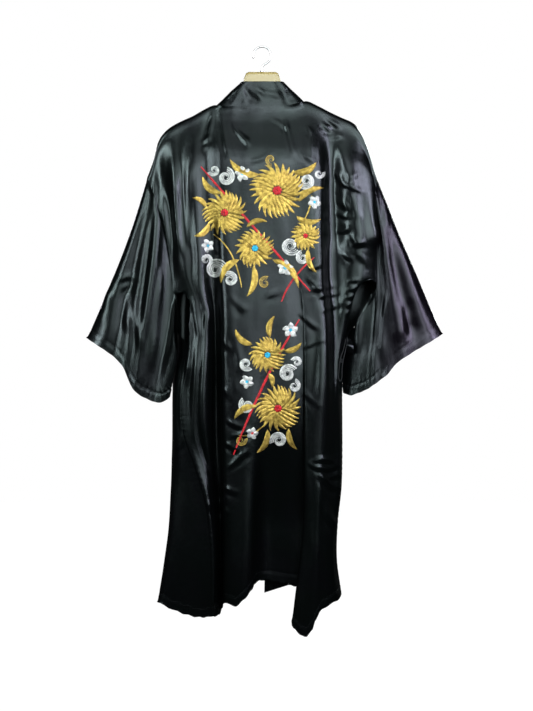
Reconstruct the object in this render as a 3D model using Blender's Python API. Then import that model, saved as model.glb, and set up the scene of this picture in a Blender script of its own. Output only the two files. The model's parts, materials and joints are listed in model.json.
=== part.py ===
"""Long satin haori hanging on a flat wooden clothes hanger.

The back of the robe faces -Y, +Z is up, and the origin is the inside crown of the hanger's hook,
where a rail carries it. Sizes below are in millimetres and are turned to metres on building.
Each cloth piece is a thin wall on a grid. Its columns follow named fold lines down the cloth,
its rows follow the cut from shoulder to hem.
"""

import math
from collections import namedtuple

import bmesh
import bpy
import numpy as np

MM = 0.001

# Cloth
WALL = 1.6
RIBBON_WALL = 1.2
SEAM_GAP = 0.3
RIDGE_RADIUS = 8.1
RIDGE_ANGLES = (7.0, 38.0, 68.0, 90.0)
RIDGE_SETTLE = 130.0
BESIDE_SETTLE = 0.1
ROW_LEVEL_START = -178.0
ROW_FAN = 0.22
EDGE_INSET = 0.72
SLEEVE_GAP = 1.15
BAND_GAP = 0.8
SETTLE_ROUNDS = 12
SETTLE_STRENGTH = 0.6
SETTLE_COLUMNS = 8
SETTLE_TOP = -455.0
SETTLE_FOOT = -690.0
LEFT_SEAM_TUCK = 2.0
RIGHT_SEAM_TUCK = 4.4
TUCK_TOP = -330.0
TUCK_LENGTH = 100.0

# Which edge of its panel a fold line runs beside
FIRST = "first"
LAST = "last"

# Heights at which the fold tables give a fold line's place
CHEST = -330.0
ARMPIT = -520.0
SLIT = -610.0
HIP = -830.0
KNEE = -1040.0

# Hanger
BOARD_HALF_THICKNESS = 7.0
BOARD_ROUNDING = 6.5
BOARD_TIP = 0.5
ROUNDING_STEPS = 3
HOOK_WIRE = 3.6
HOOK_RADIUS = 20.0

# Colours, linear, and how rough each surface is
SATIN_BLACK = (0.012, 0.012, 0.014, 1.0)
SATIN_ROUGHNESS = 0.35
PALE_WOOD = (0.66, 0.53, 0.24, 1.0)
WOOD_ROUGHNESS = 0.5
STEEL = (0.55, 0.55, 0.56, 1.0)
STEEL_ROUGHNESS = 0.3

Shoulder = namedtuple("Shoulder", "place x z")
SHOULDER_LINE = (
    Shoulder("left armhole", -258, -293),
    Shoulder("left outer roll", -243, -252),
    Shoulder("left hanger tip", -229, -204),
    Shoulder("left shoulder", -214, -186),
    Shoulder("left slope", -146, -150),
    Shoulder("left neck corner", -106, -130),
    Shoulder("right neck corner", 97, -121),
    Shoulder("right slope", 140, -140),
    Shoulder("right shoulder", 198, -168),
    Shoulder("right hanger tip", 218, -179),
    Shoulder("right outer roll", 226, -200),
    Shoulder("right sleeve head", 240, -253),
    Shoulder("right armhole", 256, -290),
)

Neck = namedtuple("Neck", "place x y z")
NECK_SEAM = (
    Neck("left corner", -106, 0.0, -130),
    Neck("left roll", -98, 9.5, -132.5),
    Neck("left quarter", -54, 12.5, -134.5),
    Neck("centre", -14, 14.0, -135.5),
    Neck("right quarter", 45, 12.5, -132.5),
    Neck("right roll", 89, 9.5, -125),
    Neck("right corner", 97, 0.0, -121),
)

# A fold line: its sideways place at each height, its hem height, and how far it stands from
# the hanger's plane, towards the outside of the robe. A line beside an edge gives instead how
# far inside that edge it runs and how far it stands out from it.
Fold = namedtuple(
    "Fold",
    "name beside top chest armpit slit hip knee hem hem_z"
    " out_chest out_armpit out_slit out_hip out_knee",
)

BACK_FOLDS = (
    Fold("left_outer_roll", FIRST, -243, 6, 6, 5, 9, 7, 7, -1272, 2, 5, 3, 4, 3),
    Fold("left_band_dip", FIRST, -229, 18, 17, 13, 18, 16, 9, -1273, 1, 7, 3, 6, -6),
    Fold("left_lobe_ridge", None, -212, None, -172, -139, -153, -104, -100, -1273, 33, 33, 34, 37, 26),
    Fold("left_lobe_dip", None, -189, None, -161, -132, -143, -101, -97, -1272, 27, 27, 28, 33, 17),
    Fold("left_back_ridge", None, -155, None, -147, -125, -131, -98, -94, -1270, 34, 34, 36, 41, 8),
    Fold("left_trough_lip", None, -124, None, -128, -116, -116, -95, -92, -1266, 30, 30, 30, 24, 0),
    Fold("left_neck_fold", None, -108, None, -111, -106, -101, -91, -88, -1258, 34, 18, 13, 7, 6),
    Fold("panel_left", None, -96, None, -91, -87, -86, -83, -82, -1241, 38, 42, 44, 46, 44),
    Fold("panel_quarter", None, -54, None, -53, -53, -53, -54, -56, -1244, 40, 46, 50, 54, 55),
    Fold("recess_edge", None, -22, None, -18, -18, -18, -22, -28, -1213, 40, 46, 50, 55, 51),
    Fold("recess_left", None, 0, None, 9, 9, 7, -8, -15, -1199, 40, 46, 50, 50, 24),
    Fold("recess_right", None, 22, None, 51, 53, 66, 66, 58, -1202, 40, 45, 48, 46, 20),
    Fold("pleat_turn", None, 45, None, 78, 91, 117, 114, 100, -1207, 39, 43, 43, 38, 24),
    Fold("pleat_edge", None, 87, None, 94, 94, 94, 92, 66, -1288, 38, 44, 49, 52, 48),
    Fold("pleat_ridge", None, 99, None, 114, 113, 115, 112, 94, -1312, 38, 45, 50, 58, 60),
    Fold("right_ridge", None, 122, None, 134, 142, 144, 138, 136, -1249, 33, 40, 45, 50, 54),
    Fold("right_trough", None, 150, None, 166, 164, 156, 148, 152, -1243, 14, 14, 18, 38, 46),
    Fold("right_lobe_inner", None, 178, None, 192, 176, 166, 157, 162, -1238, 32, 30, 25, 30, 36),
    Fold("right_lobe_middle", LAST, 206, 38, 24, 9, 6, 6, 7, -1236, 16, 21, 15, 21, 24),
    Fold("right_outer_roll", LAST, 226, 8, -9, 4, 2, 2, 2, -1233, 8, 15, 7, 10, 11),
)

FRONT_LEFT_FOLDS = (
    Fold("side_crest", FIRST, -243, 5, 5, -10, -14, -40, -24, -1275, 3, 6, 10, 7, 4),
    Fold("side_edge", None, -229, None, -189, -196, -201, -206, -235, -1243, 24, 26, 32, 4, -16),
    Fold("side_turn", None, -212, None, -171, -176, -188, -194, -216, -1254, 32, 34, 38, 28, 18),
    Fold("outer_valley", None, -180, None, -156, -160, -166, -168, -184, -1262, 24, 25, 27, 32, 32),
    Fold("outer_ridge", None, -155, None, -140, -143, -146, -147, -157, -1270, 36, 44, 50, 58, 62),
    Fold("middle_valley", None, -136, None, -126, -127, -128, -129, -135, -1274, 24, 26, 27, 31, 30),
    Fold("inner_ridge", None, -119, None, -112, -110, -110, -110, -113, -1264, 32, 40, 46, 57, 60),
)

FRONT_RIGHT_FOLDS = (
    Fold("outer_roll", LAST, 226, 8, -7, 3, 2, 2, 2, -1224, 5, 14, 10, 9, 9),
    Fold("outer_turn", None, 208, None, 214, 170, 160, 150, 160, -1226, 30, 34, 30, 22, 24),
    Fold("outer_valley", None, 178, None, 186, 158, 146, 139, 145, -1226, 22, 24, 23, 25, 25),
    Fold("outer_ridge", None, 150, None, 162, 146, 132, 126, 128, -1228, 36, 44, 48, 56, 60),
    Fold("middle_valley", None, 130, None, 140, 130, 114, 108, 107, -1228, 24, 27, 28, 31, 31),
    Fold("inner_ridge", None, 110, None, 116, 104, 92, 87, 86, -1226, 32, 41, 46, 56, 60),
)

# How many columns of the grid lie between one fold line and the next, from edge to edge
BACK_COUNTS = (1, 1, 2, 2, 2, 2, 2, 3, 2, 2, 2, 3, 3, 3, 2, 3, 2, 2, 3, 1, 1)
FRONT_LEFT_COUNTS = (1, 2, 3, 2, 3, 3, 3, 3)
FRONT_RIGHT_COUNTS = (2, 3, 3, 3, 2, 2, 2)

# An edge of a panel: the row of the cut it lies on, where it really hangs, and how far the
# cloth beside it is drawn up there. y is towards the wearer's front.
Edge = namedtuple("Edge", "place row x y z pull")

LEFT_ARMHOLE = (
    Edge("armhole top", -293, -258, 1, -293, 0),
    Edge("armhole upper", -343, -238, 17, -343, 0),
    Edge("armhole middle", -410, -219, 16, -410, 0),
    Edge("armhole lower", -478, -208, 14, -478, 8),
    Edge("underarm", -550, -194, 15, -556, 22),
)

RIGHT_ARMHOLE = (
    Edge("armhole top", -290, 256, 1, -290, 0),
    Edge("armhole upper", -345, 256, 13, -345, 0),
    Edge("armhole middle", -430, 257, 12, -430, 4),
    Edge("armhole lower", -490, 258, 11, -490, 14),
    Edge("underarm", -532, 258, 10, -537, 28),
)

LEFT_SIDE_SEAM = (
    Edge("slit foot", -668, -166, -25, -668, 0),
    Edge("waist", -757, -177, -27, -757, 0),
    Edge("hip", -829, -181, -29, -829, 0),
    Edge("thigh", -923, -156, -33, -923, 0),
    Edge("above knee", -1004, -130, -36, -1004, 0),
    Edge("below knee", -1085, -118, -37, -1085, 0),
    Edge("shin", -1153, -114, -37, -1153, 0),
    Edge("hem", -1273, -114, -35, -1273, 0),
)

RIGHT_SIDE_SEAM = (
    Edge("slit foot", -650, 188, -4, -646, 0),
    Edge("waist", -700, 183, 0, -700, 0),
    Edge("hip", -768, 180, 0, -768, 0),
    Edge("seat", -829, 180, 0, -829, 0),
    Edge("thigh", -950, 180, 0, -950, 0),
    Edge("knee", -1040, 173, 0, -1040, 0),
    Edge("shin", -1120, 165, 0, -1120, 0),
    Edge("ankle", -1176, 171, 0, -1176, 0),
    Edge("hem", -1228, 178, 0, -1228, 0),
)

LEFT_BACK_SLIT = (
    Edge("slit roll", -572, -181, -18, -550, 24),
    Edge("slit top", -592, -168, -21, -546, 44),
    Edge("slit upper", -614, -161, -24, -576, 40),
    Edge("slit lower", -642, -161, -26, -622, 21),
)

RIGHT_BACK_SLIT = (
    Edge("slit roll", -548, 252, -15, -522, 30),
    Edge("slit crest", -566, 234, -19, -512, 52),
    Edge("slit top", -586, 213, -17, -530, 54),
    Edge("slit upper", -608, 203, -14, -570, 38),
    Edge("slit lower", -630, 196, -9, -612, 18),
)

LEFT_FRONT_SLIT = (
    Edge("slit upper", -596, -198, 26, -596, 0),
    Edge("slit lower", -632, -194, 10, -632, 0),
)

RIGHT_FRONT_SLIT = (
    Edge("slit upper", -572, 248, 20, -572, 0),
    Edge("slit middle", -600, 230, 19, -600, 0),
    Edge("slit lower", -630, 205, 10, -630, 0),
)

LEFT_BAND_SEAM = (
    Edge("neck corner", -131, -107, 1, -131, 0),
    Edge("neck roll", -137, -103, 9.5, -137, 0),
    Edge("collar bone", -172, -107, 11, -172, 0),
    Edge("upper chest", -225, -106, 16, -225, 0),
    Edge("chest", -300, -102, 22, -300, 0),
    Edge("slit", -610, -94, 44, -610, 0),
    Edge("hip", -830, -92, 50, -830, 0),
    Edge("knee", -1040, -91, 52, -1040, 0),
    Edge("hem", -1240, -90, 52, -1240, 0),
)

RIGHT_BAND_SEAM = (
    Edge("neck corner", -122, 98, 1, -122, 0),
    Edge("neck roll", -128, 93, 9.5, -128, 0),
    Edge("collar bone", -165, 80, 11, -165, 0),
    Edge("upper chest", -225, 70, 16, -225, 0),
    Edge("chest", -300, 68, 22, -300, 0),
    Edge("slit", -610, 68, 44, -610, 0),
    Edge("hip", -830, 66, 50, -830, 0),
    Edge("knee", -1040, 63, 52, -1040, 0),
    Edge("hem", -1220, 60, 52, -1220, 0),
)

# How strongly the fold lines beside an edge follow its pull, nearest line first
PULL_WEIGHTS = (1.0, 0.75, 0.45, 0.2, 0.08)

# Band: the edge that stands free, from the centre of the neck to the hem on each side
Band = namedtuple("Band", "place x y z")
LEFT_BAND_FREE = (
    Band("neck centre", 1, -10.5, -78.5),
    Band("neck quarter", -22, -10, -78.5),
    Band("neck roll", -40, -9.5, -78.5),
    Band("shoulder", -47, 0, -78.5),
    Band("front roll", -45, 9.5, -82),
    Band("collar bone", -52, 11, -128),
    Band("upper chest", -53, 15, -192),
    Band("chest", -47, 21, -290),
    Band("slit", -39, 43, -610),
    Band("hip", -37, 48, -830),
    Band("knee", -36, 50, -1040),
    Band("hem", -35, 50, -1241),
)
RIGHT_BAND_FREE = (
    Band("neck centre", 1, -10.5, -78.5),
    Band("neck quarter", 24, -10, -78.5),
    Band("neck roll", 42, -9.5, -78.5),
    Band("shoulder", 49, 0, -78.5),
    Band("front roll", 46, 9.5, -82),
    Band("collar bone", 30, 11, -126),
    Band("upper chest", 15, 15, -192),
    Band("chest", 13, 21, -290),
    Band("slit", 13, 43, -610),
    Band("hip", 11, 48, -830),
    Band("knee", 8, 50, -1040),
    Band("hem", 5, 50, -1237),
)

# How many rows of the band's grid lie between one of its places and the next
BAND_COUNTS = (3, 2, 3, 3, 2, 2, 2, 4, 3, 3, 3)

# Sleeves: each line runs from the armhole or the free inner edge to the cuff. A line that
# starts on the armhole takes its place there from the armhole's own table, on the side that
# its y points to. out_middle is how far it stands out halfway, beyond a straight line.
ON_ARMHOLE = None
SleeveLine = namedtuple("SleeveLine", "name x y z cuff_x cuff_y cuff_z out_middle")
LEFT_SLEEVE = (
    SleeveLine("top_fold", -258, 0, -293, -396, 0, -653, 0),
    SleeveLine("back_ridge_1", ON_ARMHOLE, -1, -306, -357, -15, -678, 4),
    SleeveLine("back_dip_1", ON_ARMHOLE, -1, -318, -333, -9, -695, 0),
    SleeveLine("back_ridge_2", ON_ARMHOLE, -1, -332, -310, -23, -719, 6),
    SleeveLine("back_dip_2", ON_ARMHOLE, -1, -350, -297, -15, -750, -1),
    SleeveLine("back_ridge_3", ON_ARMHOLE, -1, -372, -281, -29, -775, 10),
    SleeveLine("back_dip_3", ON_ARMHOLE, -1, -404, -270, -17, -783, -1),
    SleeveLine("back_ridge_4", ON_ARMHOLE, -1, -440, -261, -26, -788, 5),
    SleeveLine("back_band_dip", ON_ARMHOLE, -1, -492, -252, -15, -792, -1),
    SleeveLine("back_underarm", ON_ARMHOLE, -1, -555, -243, -20, -796, 0),
    SleeveLine("back_free_edge", -196, -32, -634, -222, -24, -797, 0),
    SleeveLine("bottom_fold", -187, -34, -694, -205, -22, -785, 0),
    SleeveLine("front_free_edge", -190, -3, -644, -223, -4, -795, 0),
    SleeveLine("front_underarm", ON_ARMHOLE, 1, -555, -238, 6, -797, 0),
    SleeveLine("front_ridge_3", ON_ARMHOLE, 1, -478, -258, 18, -787, 12),
    SleeveLine("front_dip_2", ON_ARMHOLE, 1, -410, -282, 9, -770, 2),
    SleeveLine("front_ridge_2", ON_ARMHOLE, 1, -368, -303, 22, -736, 8),
    SleeveLine("front_dip_1", ON_ARMHOLE, 1, -336, -330, 9, -699, 1),
    SleeveLine("front_ridge_1", ON_ARMHOLE, 1, -312, -358, 15, -678, 5),
)
RIGHT_SLEEVE = (
    SleeveLine("top_fold", 256, 0, -290, 407, 0, -644, 0),
    SleeveLine("back_ridge_1", ON_ARMHOLE, -1, -305, 376, -14, -663, 4),
    SleeveLine("back_dip_1", ON_ARMHOLE, -1, -322, 345, -9, -681, 0),
    SleeveLine("back_ridge_2", ON_ARMHOLE, -1, -342, 318, -22, -698, 6),
    SleeveLine("back_dip_2", ON_ARMHOLE, -1, -368, 298, -12, -713, -1),
    SleeveLine("back_ridge_3", ON_ARMHOLE, -1, -402, 281, -20, -735, -5),
    SleeveLine("back_dip_3", ON_ARMHOLE, -1, -440, 266, -9, -747, 0),
    SleeveLine("back_ridge_4", ON_ARMHOLE, -1, -485, 250, -13, -759, 0),
    SleeveLine("back_underarm", ON_ARMHOLE, -1, -536, 232, -4, -771, 0),
    SleeveLine("back_free_upper", 229, -1, -588, 215, 0, -778, 0),
    SleeveLine("back_free_lower", 204, 14, -636, 200, 6, -783, 0),
    SleeveLine("bottom_fold", 175, 36, -690, 184, 20, -777, 0),
    SleeveLine("front_free_lower", 202, 41, -637, 200, 26, -782, 0),
    SleeveLine("front_free_upper", 244, 22, -588, 220, 26, -774, 0),
    SleeveLine("front_underarm", ON_ARMHOLE, 1, -536, 240, 22, -764, 0),
    SleeveLine("front_dip_2", ON_ARMHOLE, 1, -446, 268, 7, -745, -4),
    SleeveLine("front_ridge_2", ON_ARMHOLE, 1, -378, 300, 21, -712, -2),
    SleeveLine("front_dip_1", ON_ARMHOLE, 1, -342, 335, 9, -687, 1),
    SleeveLine("front_ridge_1", ON_ARMHOLE, 1, -308, 374, 15, -664, 5),
)

# How far the top fold of each sleeve hangs inside a straight line, halfway along
LEFT_SLEEVE_SAG = 10.0
RIGHT_SLEEVE_SAG = 3.0
SLEEVE_ROWS = 10
SLEEVE_COLUMNS = 2

# Rows of the panels, by fraction of the cut from the shoulder's ridge to the hem
CUT_ROWS = (
    0.015, 0.045, 0.085, 0.125, 0.165, 0.205, 0.24, 0.27, 0.295, 0.314, 0.331, 0.347, 0.362,
    0.378, 0.396, 0.418, 0.45, 0.50, 0.56, 0.63, 0.70, 0.77, 0.85, 0.93, 1.0,
)

Board = namedtuple("Board", "place x top bottom")
HANGER_BOARD = (
    Board("middle", 0, -55, -128),
    Board("flat top end", 30, -55, -128),
    Board("top corner", 36, -58, -127.5),
    Board("neck side", 40.5, -69, -127),
    Board("neck foot", 43, -80, -127),
    Board("steep shoulder", 54, -94, -130),
    Board("shoulder middle", 74, -112, -140),
    Board("shoulder bend", 94, -128, -154),
    Board("inner arm", 110, -137.5, -166),
    Board("middle arm", 146, -153, -187),
    Board("outer arm", 182, -170.5, -206),
    Board("tip shoulder", 206, -184.5, -214),
    Board("tip", 215, -194, -211),
)

# Wire hook: a path up from the board and round over the rail, seen from the back
Wire = namedtuple("Wire", "place x z thickness")
HOOK_SHANK = (
    Wire("collar foot", 0, -54.6, 9.0),
    Wire("collar top", 0, -52.6, 9.0),
    Wire("shank", 0, -51.6, HOOK_WIRE),
    Wire("shank bend", 0, -44.5, HOOK_WIRE),
)
HOOK_START = -66.0
HOOK_END = 198.0
HOOK_STEPS = 16
WIRE_ROUNDING = 2

# Thread loop for a belt, hanging from the foot of the right slit
Cord = namedtuple("Cord", "place x y z")
BELT_LOOP = (
    Cord("fast end", 190.4, -7.5, -652),
    Cord("over the seam", 190, -18, -663),
    Cord("outer strand", 186, -30, -680),
    Cord("outer strand at knot", 181, -36, -700),
    Cord("outer strand below knot", 177.5, -37.5, -725),
    Cord("outer foot", 176.5, -37.5, -744),
    Cord("foot", 173.5, -37.5, -750),
    Cord("inner foot", 170.5, -37.5, -744),
    Cord("inner strand below knot", 171, -37.5, -725),
    Cord("inner strand at knot", 174, -36.5, -700),
    Cord("inner strand", 181, -32.5, -680),
    Cord("under the seam", 187, -21.5, -657),
)
LOOP_THREAD = 2.6
LOOP_STEPS = 2

# Ribbon end sewn to the foot of the right slit: its middle line, and how far its edges stand
Ribbon = namedtuple("Ribbon", "place x y z half_width lean")
SIDE_TIE = (
    Ribbon("fast end", 192.9, -2.2, -655, 4.5, 1.0),
    Ribbon("first bend", 195.8, -5, -662, 6, 2),
    Ribbon("middle", 197, -11, -670, 7, 1),
    Ribbon("second bend", 198, -10, -679, 7, -1),
    Ribbon("cut end", 199, -7, -687, 7, -2),
)


def eased(rows, at):
    """Smooth value between (key, value) rows, with no overshoot: a monotone cubic."""
    keys = [row[0] for row in rows]
    values = [row[1] for row in rows]
    if keys[0] > keys[-1]:
        keys.reverse()
        values.reverse()
    if at <= keys[0]:
        return values[0]
    if at >= keys[-1]:
        return values[-1]
    steps = [keys[i + 1] - keys[i] for i in range(len(keys) - 1)]
    slopes = [(values[i + 1] - values[i]) / steps[i] for i in range(len(steps))]
    tangents = [slopes[0]]
    for i in range(1, len(slopes)):
        before, after = slopes[i - 1], slopes[i]
        if before * after <= 0:
            tangents.append(0.0)
        else:
            near = 2 * steps[i] + steps[i - 1]
            far = steps[i] + 2 * steps[i - 1]
            tangents.append((near + far) / (near / before + far / after))
    tangents.append(slopes[-1])
    i = max(k for k in range(len(steps)) if keys[k] <= at)
    t = (at - keys[i]) / steps[i]
    rise = values[i + 1] - values[i]
    start = tangents[i] * steps[i]
    end = tangents[i + 1] * steps[i]
    return values[i] + start * t + (3 * rise - 2 * start - end) * t * t + (start + end - 2 * rise) * t**3


def smooth_step(t):
    t = min(max(t, 0.0), 1.0)
    return t * t * (3 - 2 * t)


def through(points, counts, closed=False):
    """Points on a smooth curve through these, counts[i] of them from point i towards the next."""
    points = [np.array(point, float) for point in points]
    last = len(points) - 1
    found = []
    for i in range(len(points) if closed else last):
        a = points[i]
        b = points[(i + 1) % len(points)]
        before = points[i - 1] if i > 0 or closed else 2 * a - b
        after = points[(i + 2) % len(points)] if i + 2 <= last or closed else 2 * b - a
        gap = max(np.linalg.norm(b - a), 1e-6)
        into = max(np.linalg.norm(a - before), 1e-6)
        out = max(np.linalg.norm(after - b), 1e-6)
        start = gap * ((a - before) / into * gap + (b - a) / gap * into) / (gap + into)
        end = gap * ((b - a) / gap * out + (after - b) / out * gap) / (gap + out)
        for k in range(counts[i]):
            t = k / counts[i]
            found.append(
                a * (2 * t**3 - 3 * t**2 + 1)
                + start * (t**3 - 2 * t**2 + t)
                + b * (3 * t**2 - 2 * t**3)
                + end * (t**3 - t**2)
            )
    if not closed:
        found.append(points[-1])
    return found


def shoulder_height(x):
    return eased([(spot.x, spot.z) for spot in SHOULDER_LINE], x)


def neck_place(x):
    depth = eased([(spot.x, spot.y) for spot in NECK_SEAM], x)
    height = eased([(spot.x, spot.z) for spot in NECK_SEAM], x)
    return depth, height


def on_neck(x):
    return NECK_SEAM[0].x < x < NECK_SEAM[-1].x


def row_height(start_z, foot_z, fraction):
    """Height of a cut row on one line. Rows fan out of the shoulder line and soon run level."""
    level = ROW_LEVEL_START + (foot_z - ROW_LEVEL_START) * fraction
    return level + (start_z - ROW_LEVEL_START) * (1 - smooth_step(fraction / ROW_FAN))


def fold_across(fold, z, top_z):
    """A fold line's sideways place, or its distance inside the edge that it runs beside."""
    rows = [
        (CHEST, fold.chest),
        (ARMPIT, fold.armpit),
        (SLIT, fold.slit),
        (HIP, fold.hip),
        (KNEE, fold.knee),
        (fold.hem_z, fold.hem),
    ]
    if fold.beside is None:
        rows.insert(0, (top_z, fold.top))
    return eased([row for row in rows if row[1] is not None], z)


def fold_out(fold, z):
    rows = (
        (CHEST, fold.out_chest),
        (ARMPIT, fold.out_armpit),
        (SLIT, fold.out_slit),
        (HIP, fold.out_hip),
        (KNEE, fold.out_knee),
    )
    return eased(rows, z)


def lift_beside(edge, row, place, nearness):
    """How far the cloth is drawn up by an edge, nearness lines away from it."""
    if row < 0 or nearness >= len(PULL_WEIGHTS):
        return 0.0
    at = row_height(edge[0].row - RIDGE_RADIUS, edge[-1].row, CUT_ROWS[row])
    pull = eased([(spot.row, spot.pull) for spot in edge], at)
    if nearness == 0:
        return (pull + place[2] - at) / 2
    return PULL_WEIGHTS[nearness] * pull


def ridge_top(x):
    """Where a fold line starts: its distance out of the hanger's plane and its height."""
    if on_neck(x):
        out, top_z = neck_place(x)
        return out, top_z - SEAM_GAP / 2
    return RIDGE_RADIUS, shoulder_height(x)


def fold_point(fold, row, side, lift, edges):
    """Where a fold line lies on a cut row. Negative rows are the roll over the shoulder ridge."""
    start_out, top_z = ridge_top(fold.top)
    if row < 0:
        angle = math.radians(RIDGE_ANGLES[row])
        z = top_z - RIDGE_RADIUS * (1 - math.cos(angle))
        out = start_out if on_neck(fold.top) else RIDGE_RADIUS * math.sin(angle)
        return fold.top, side * out, z
    start_z = top_z - RIDGE_RADIUS
    z = row_height(start_z, fold.hem_z, CUT_ROWS[row])
    x = fold_across(fold, z, top_z)
    out = fold_out(fold, z)
    if fold.beside:
        edge_x, edge_y, _ = edges[fold.beside]
        inward = -math.copysign(1.0, fold.top)
        settled = smooth_step(CUT_ROWS[row] / BESIDE_SETTLE)
        x = fold.top + (edge_x + inward * x - fold.top) * settled
        out += side * edge_y
    out = start_out + (out - start_out) * smooth_step((start_z - z) / RIDGE_SETTLE)
    return x, side * out, z + lift


def edge_point(edge, row, side):
    """The place of a panel's edge on a cut row."""
    top = edge[0]
    if row < 0:
        angle = math.radians(RIDGE_ANGLES[row])
        z = top.row - RIDGE_RADIUS * (1 - math.cos(angle))
        x = eased([(spot.row, spot.x) for spot in edge], z)
        return x, side * max(RIDGE_RADIUS * math.sin(angle), abs(top.y)), z
    at = row_height(top.row - RIDGE_RADIUS, edge[-1].row, CUT_ROWS[row])
    x = eased([(spot.row, spot.x) for spot in edge], at)
    y = eased([(spot.row, spot.y) for spot in edge], at)
    if row == 0:
        y = side * max(side * y, RIDGE_RADIUS)
    z = eased([(spot.row, spot.z) for spot in edge], at)
    return x, y, z


def mirrored_depth(edge):
    return tuple(spot._replace(y=-spot.y) for spot in edge)


def drawn_back(points, gap):
    """Draws the first and last points of a row back from their seams."""
    for end, beside in ((0, 1), (-1, -2)):
        step = points[beside] - points[end]
        step[2] = 0.0
        points[end] = points[end] + step * (gap / max(np.linalg.norm(step), 1e-6))
    return points


def settle(rows):
    """Evens out the cloth drawn up beside the slits, keeping its edges where they are."""
    for _ in range(SETTLE_ROUNDS):
        before = [list(row) for row in rows]
        for r in range(1, len(rows) - 1):
            across = len(rows[r])
            for c in range(1, across - 1):
                reach = 1 - (min(c, across - 1 - c) - 1) / SETTLE_COLUMNS
                if reach <= 0 or not SETTLE_FOOT < before[r][c][2] < SETTLE_TOP:
                    continue
                near = before[r][c - 1] + before[r][c + 1] + before[r - 1][c] + before[r + 1][c]
                rows[r][c] = before[r][c] + (near / 4 - before[r][c]) * (SETTLE_STRENGTH * reach)


def panel(folds, first_edge, last_edge, side, counts):
    """Rows of points of a panel, from its ridge to its hem, across from one edge to the other."""
    rows = []
    keep = RIDGE_RADIUS * math.sin(math.radians(RIDGE_ANGLES[0]))
    for row in [*range(-len(RIDGE_ANGLES), 0), *range(len(CUT_ROWS))]:
        edges = {FIRST: edge_point(first_edge, row, side), LAST: edge_point(last_edge, row, side)}
        line = [edges[FIRST]]
        for i, fold in enumerate(folds):
            lift = lift_beside(first_edge, row, edges[FIRST], i)
            lift += lift_beside(last_edge, row, edges[LAST], len(folds) - 1 - i)
            line.append(fold_point(fold, row, side, lift, edges))
        line.append(edges[LAST])
        points = drawn_back(through(line, counts), EDGE_INSET)
        if row < 0:
            for point in points:
                point[1] = side * max(side * point[1], keep)
        rows.append(points)
    settle(rows)
    return rows


def plain_material(name, colour, roughness, metallic=0.0):
    material = bpy.data.materials.new(name)
    material.use_nodes = True
    shader = material.node_tree.nodes["Principled BSDF"]
    shader.inputs["Base Color"].default_value = colour
    shader.inputs["Roughness"].default_value = roughness
    shader.inputs["Metallic"].default_value = metallic
    return material


def add_object(name, bm, material):
    bm.normal_update()
    mesh = bpy.data.meshes.new(name)
    bm.to_mesh(mesh)
    bm.free()
    mesh.shade_smooth()
    piece = bpy.data.objects.new(name, mesh)
    piece.data.materials.append(material)
    bpy.context.scene.collection.objects.link(piece)
    return piece


def cloth(name, rows, material, closed=False, wall=WALL):
    """A thin wall on a grid of points, its edges closed by a rim."""
    across = len(rows[0])
    bm = bmesh.new()
    grid = [[bm.verts.new(point * MM) for point in row] for row in rows]
    for upper, lower in zip(grid, grid[1:]):
        for i in range(across if closed else across - 1):
            j = (i + 1) % across
            bm.faces.new((upper[i], upper[j], lower[j], lower[i]))
    piece = add_object(name, bm, material)
    shell = piece.modifiers.new("wall", "SOLIDIFY")
    shell.thickness = wall * MM
    shell.offset = 0.0
    shell.use_rim = True
    return piece


def back_panel(material):
    left = mirrored_depth(LEFT_ARMHOLE) + LEFT_BACK_SLIT + LEFT_SIDE_SEAM
    right = mirrored_depth(RIGHT_ARMHOLE) + RIGHT_BACK_SLIT + RIGHT_SIDE_SEAM
    return cloth("back_panel", panel(BACK_FOLDS, left, right, -1, BACK_COUNTS), material)


def front_panel_left(material):
    outer = LEFT_ARMHOLE + LEFT_FRONT_SLIT + LEFT_SIDE_SEAM
    rows = panel(FRONT_LEFT_FOLDS, outer, LEFT_BAND_SEAM, 1, FRONT_LEFT_COUNTS)
    return cloth("front_panel_left", rows, material)


def front_panel_right(material):
    """Its rows run from the band's seam out to the side, so that its faces point outward."""
    outer = RIGHT_ARMHOLE + RIGHT_FRONT_SLIT + RIGHT_SIDE_SEAM
    folds = tuple(reversed(FRONT_RIGHT_FOLDS))
    rows = panel(folds, RIGHT_BAND_SEAM, outer, 1, FRONT_RIGHT_COUNTS)
    return cloth("front_panel_right", rows, material)


def armhole_place(armhole, side, z):
    x = eased([(spot.z, spot.x) for spot in armhole], z)
    y = eased([(spot.z, spot.y) for spot in armhole], z)
    return x, side * max(y, 0.0), z


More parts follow.
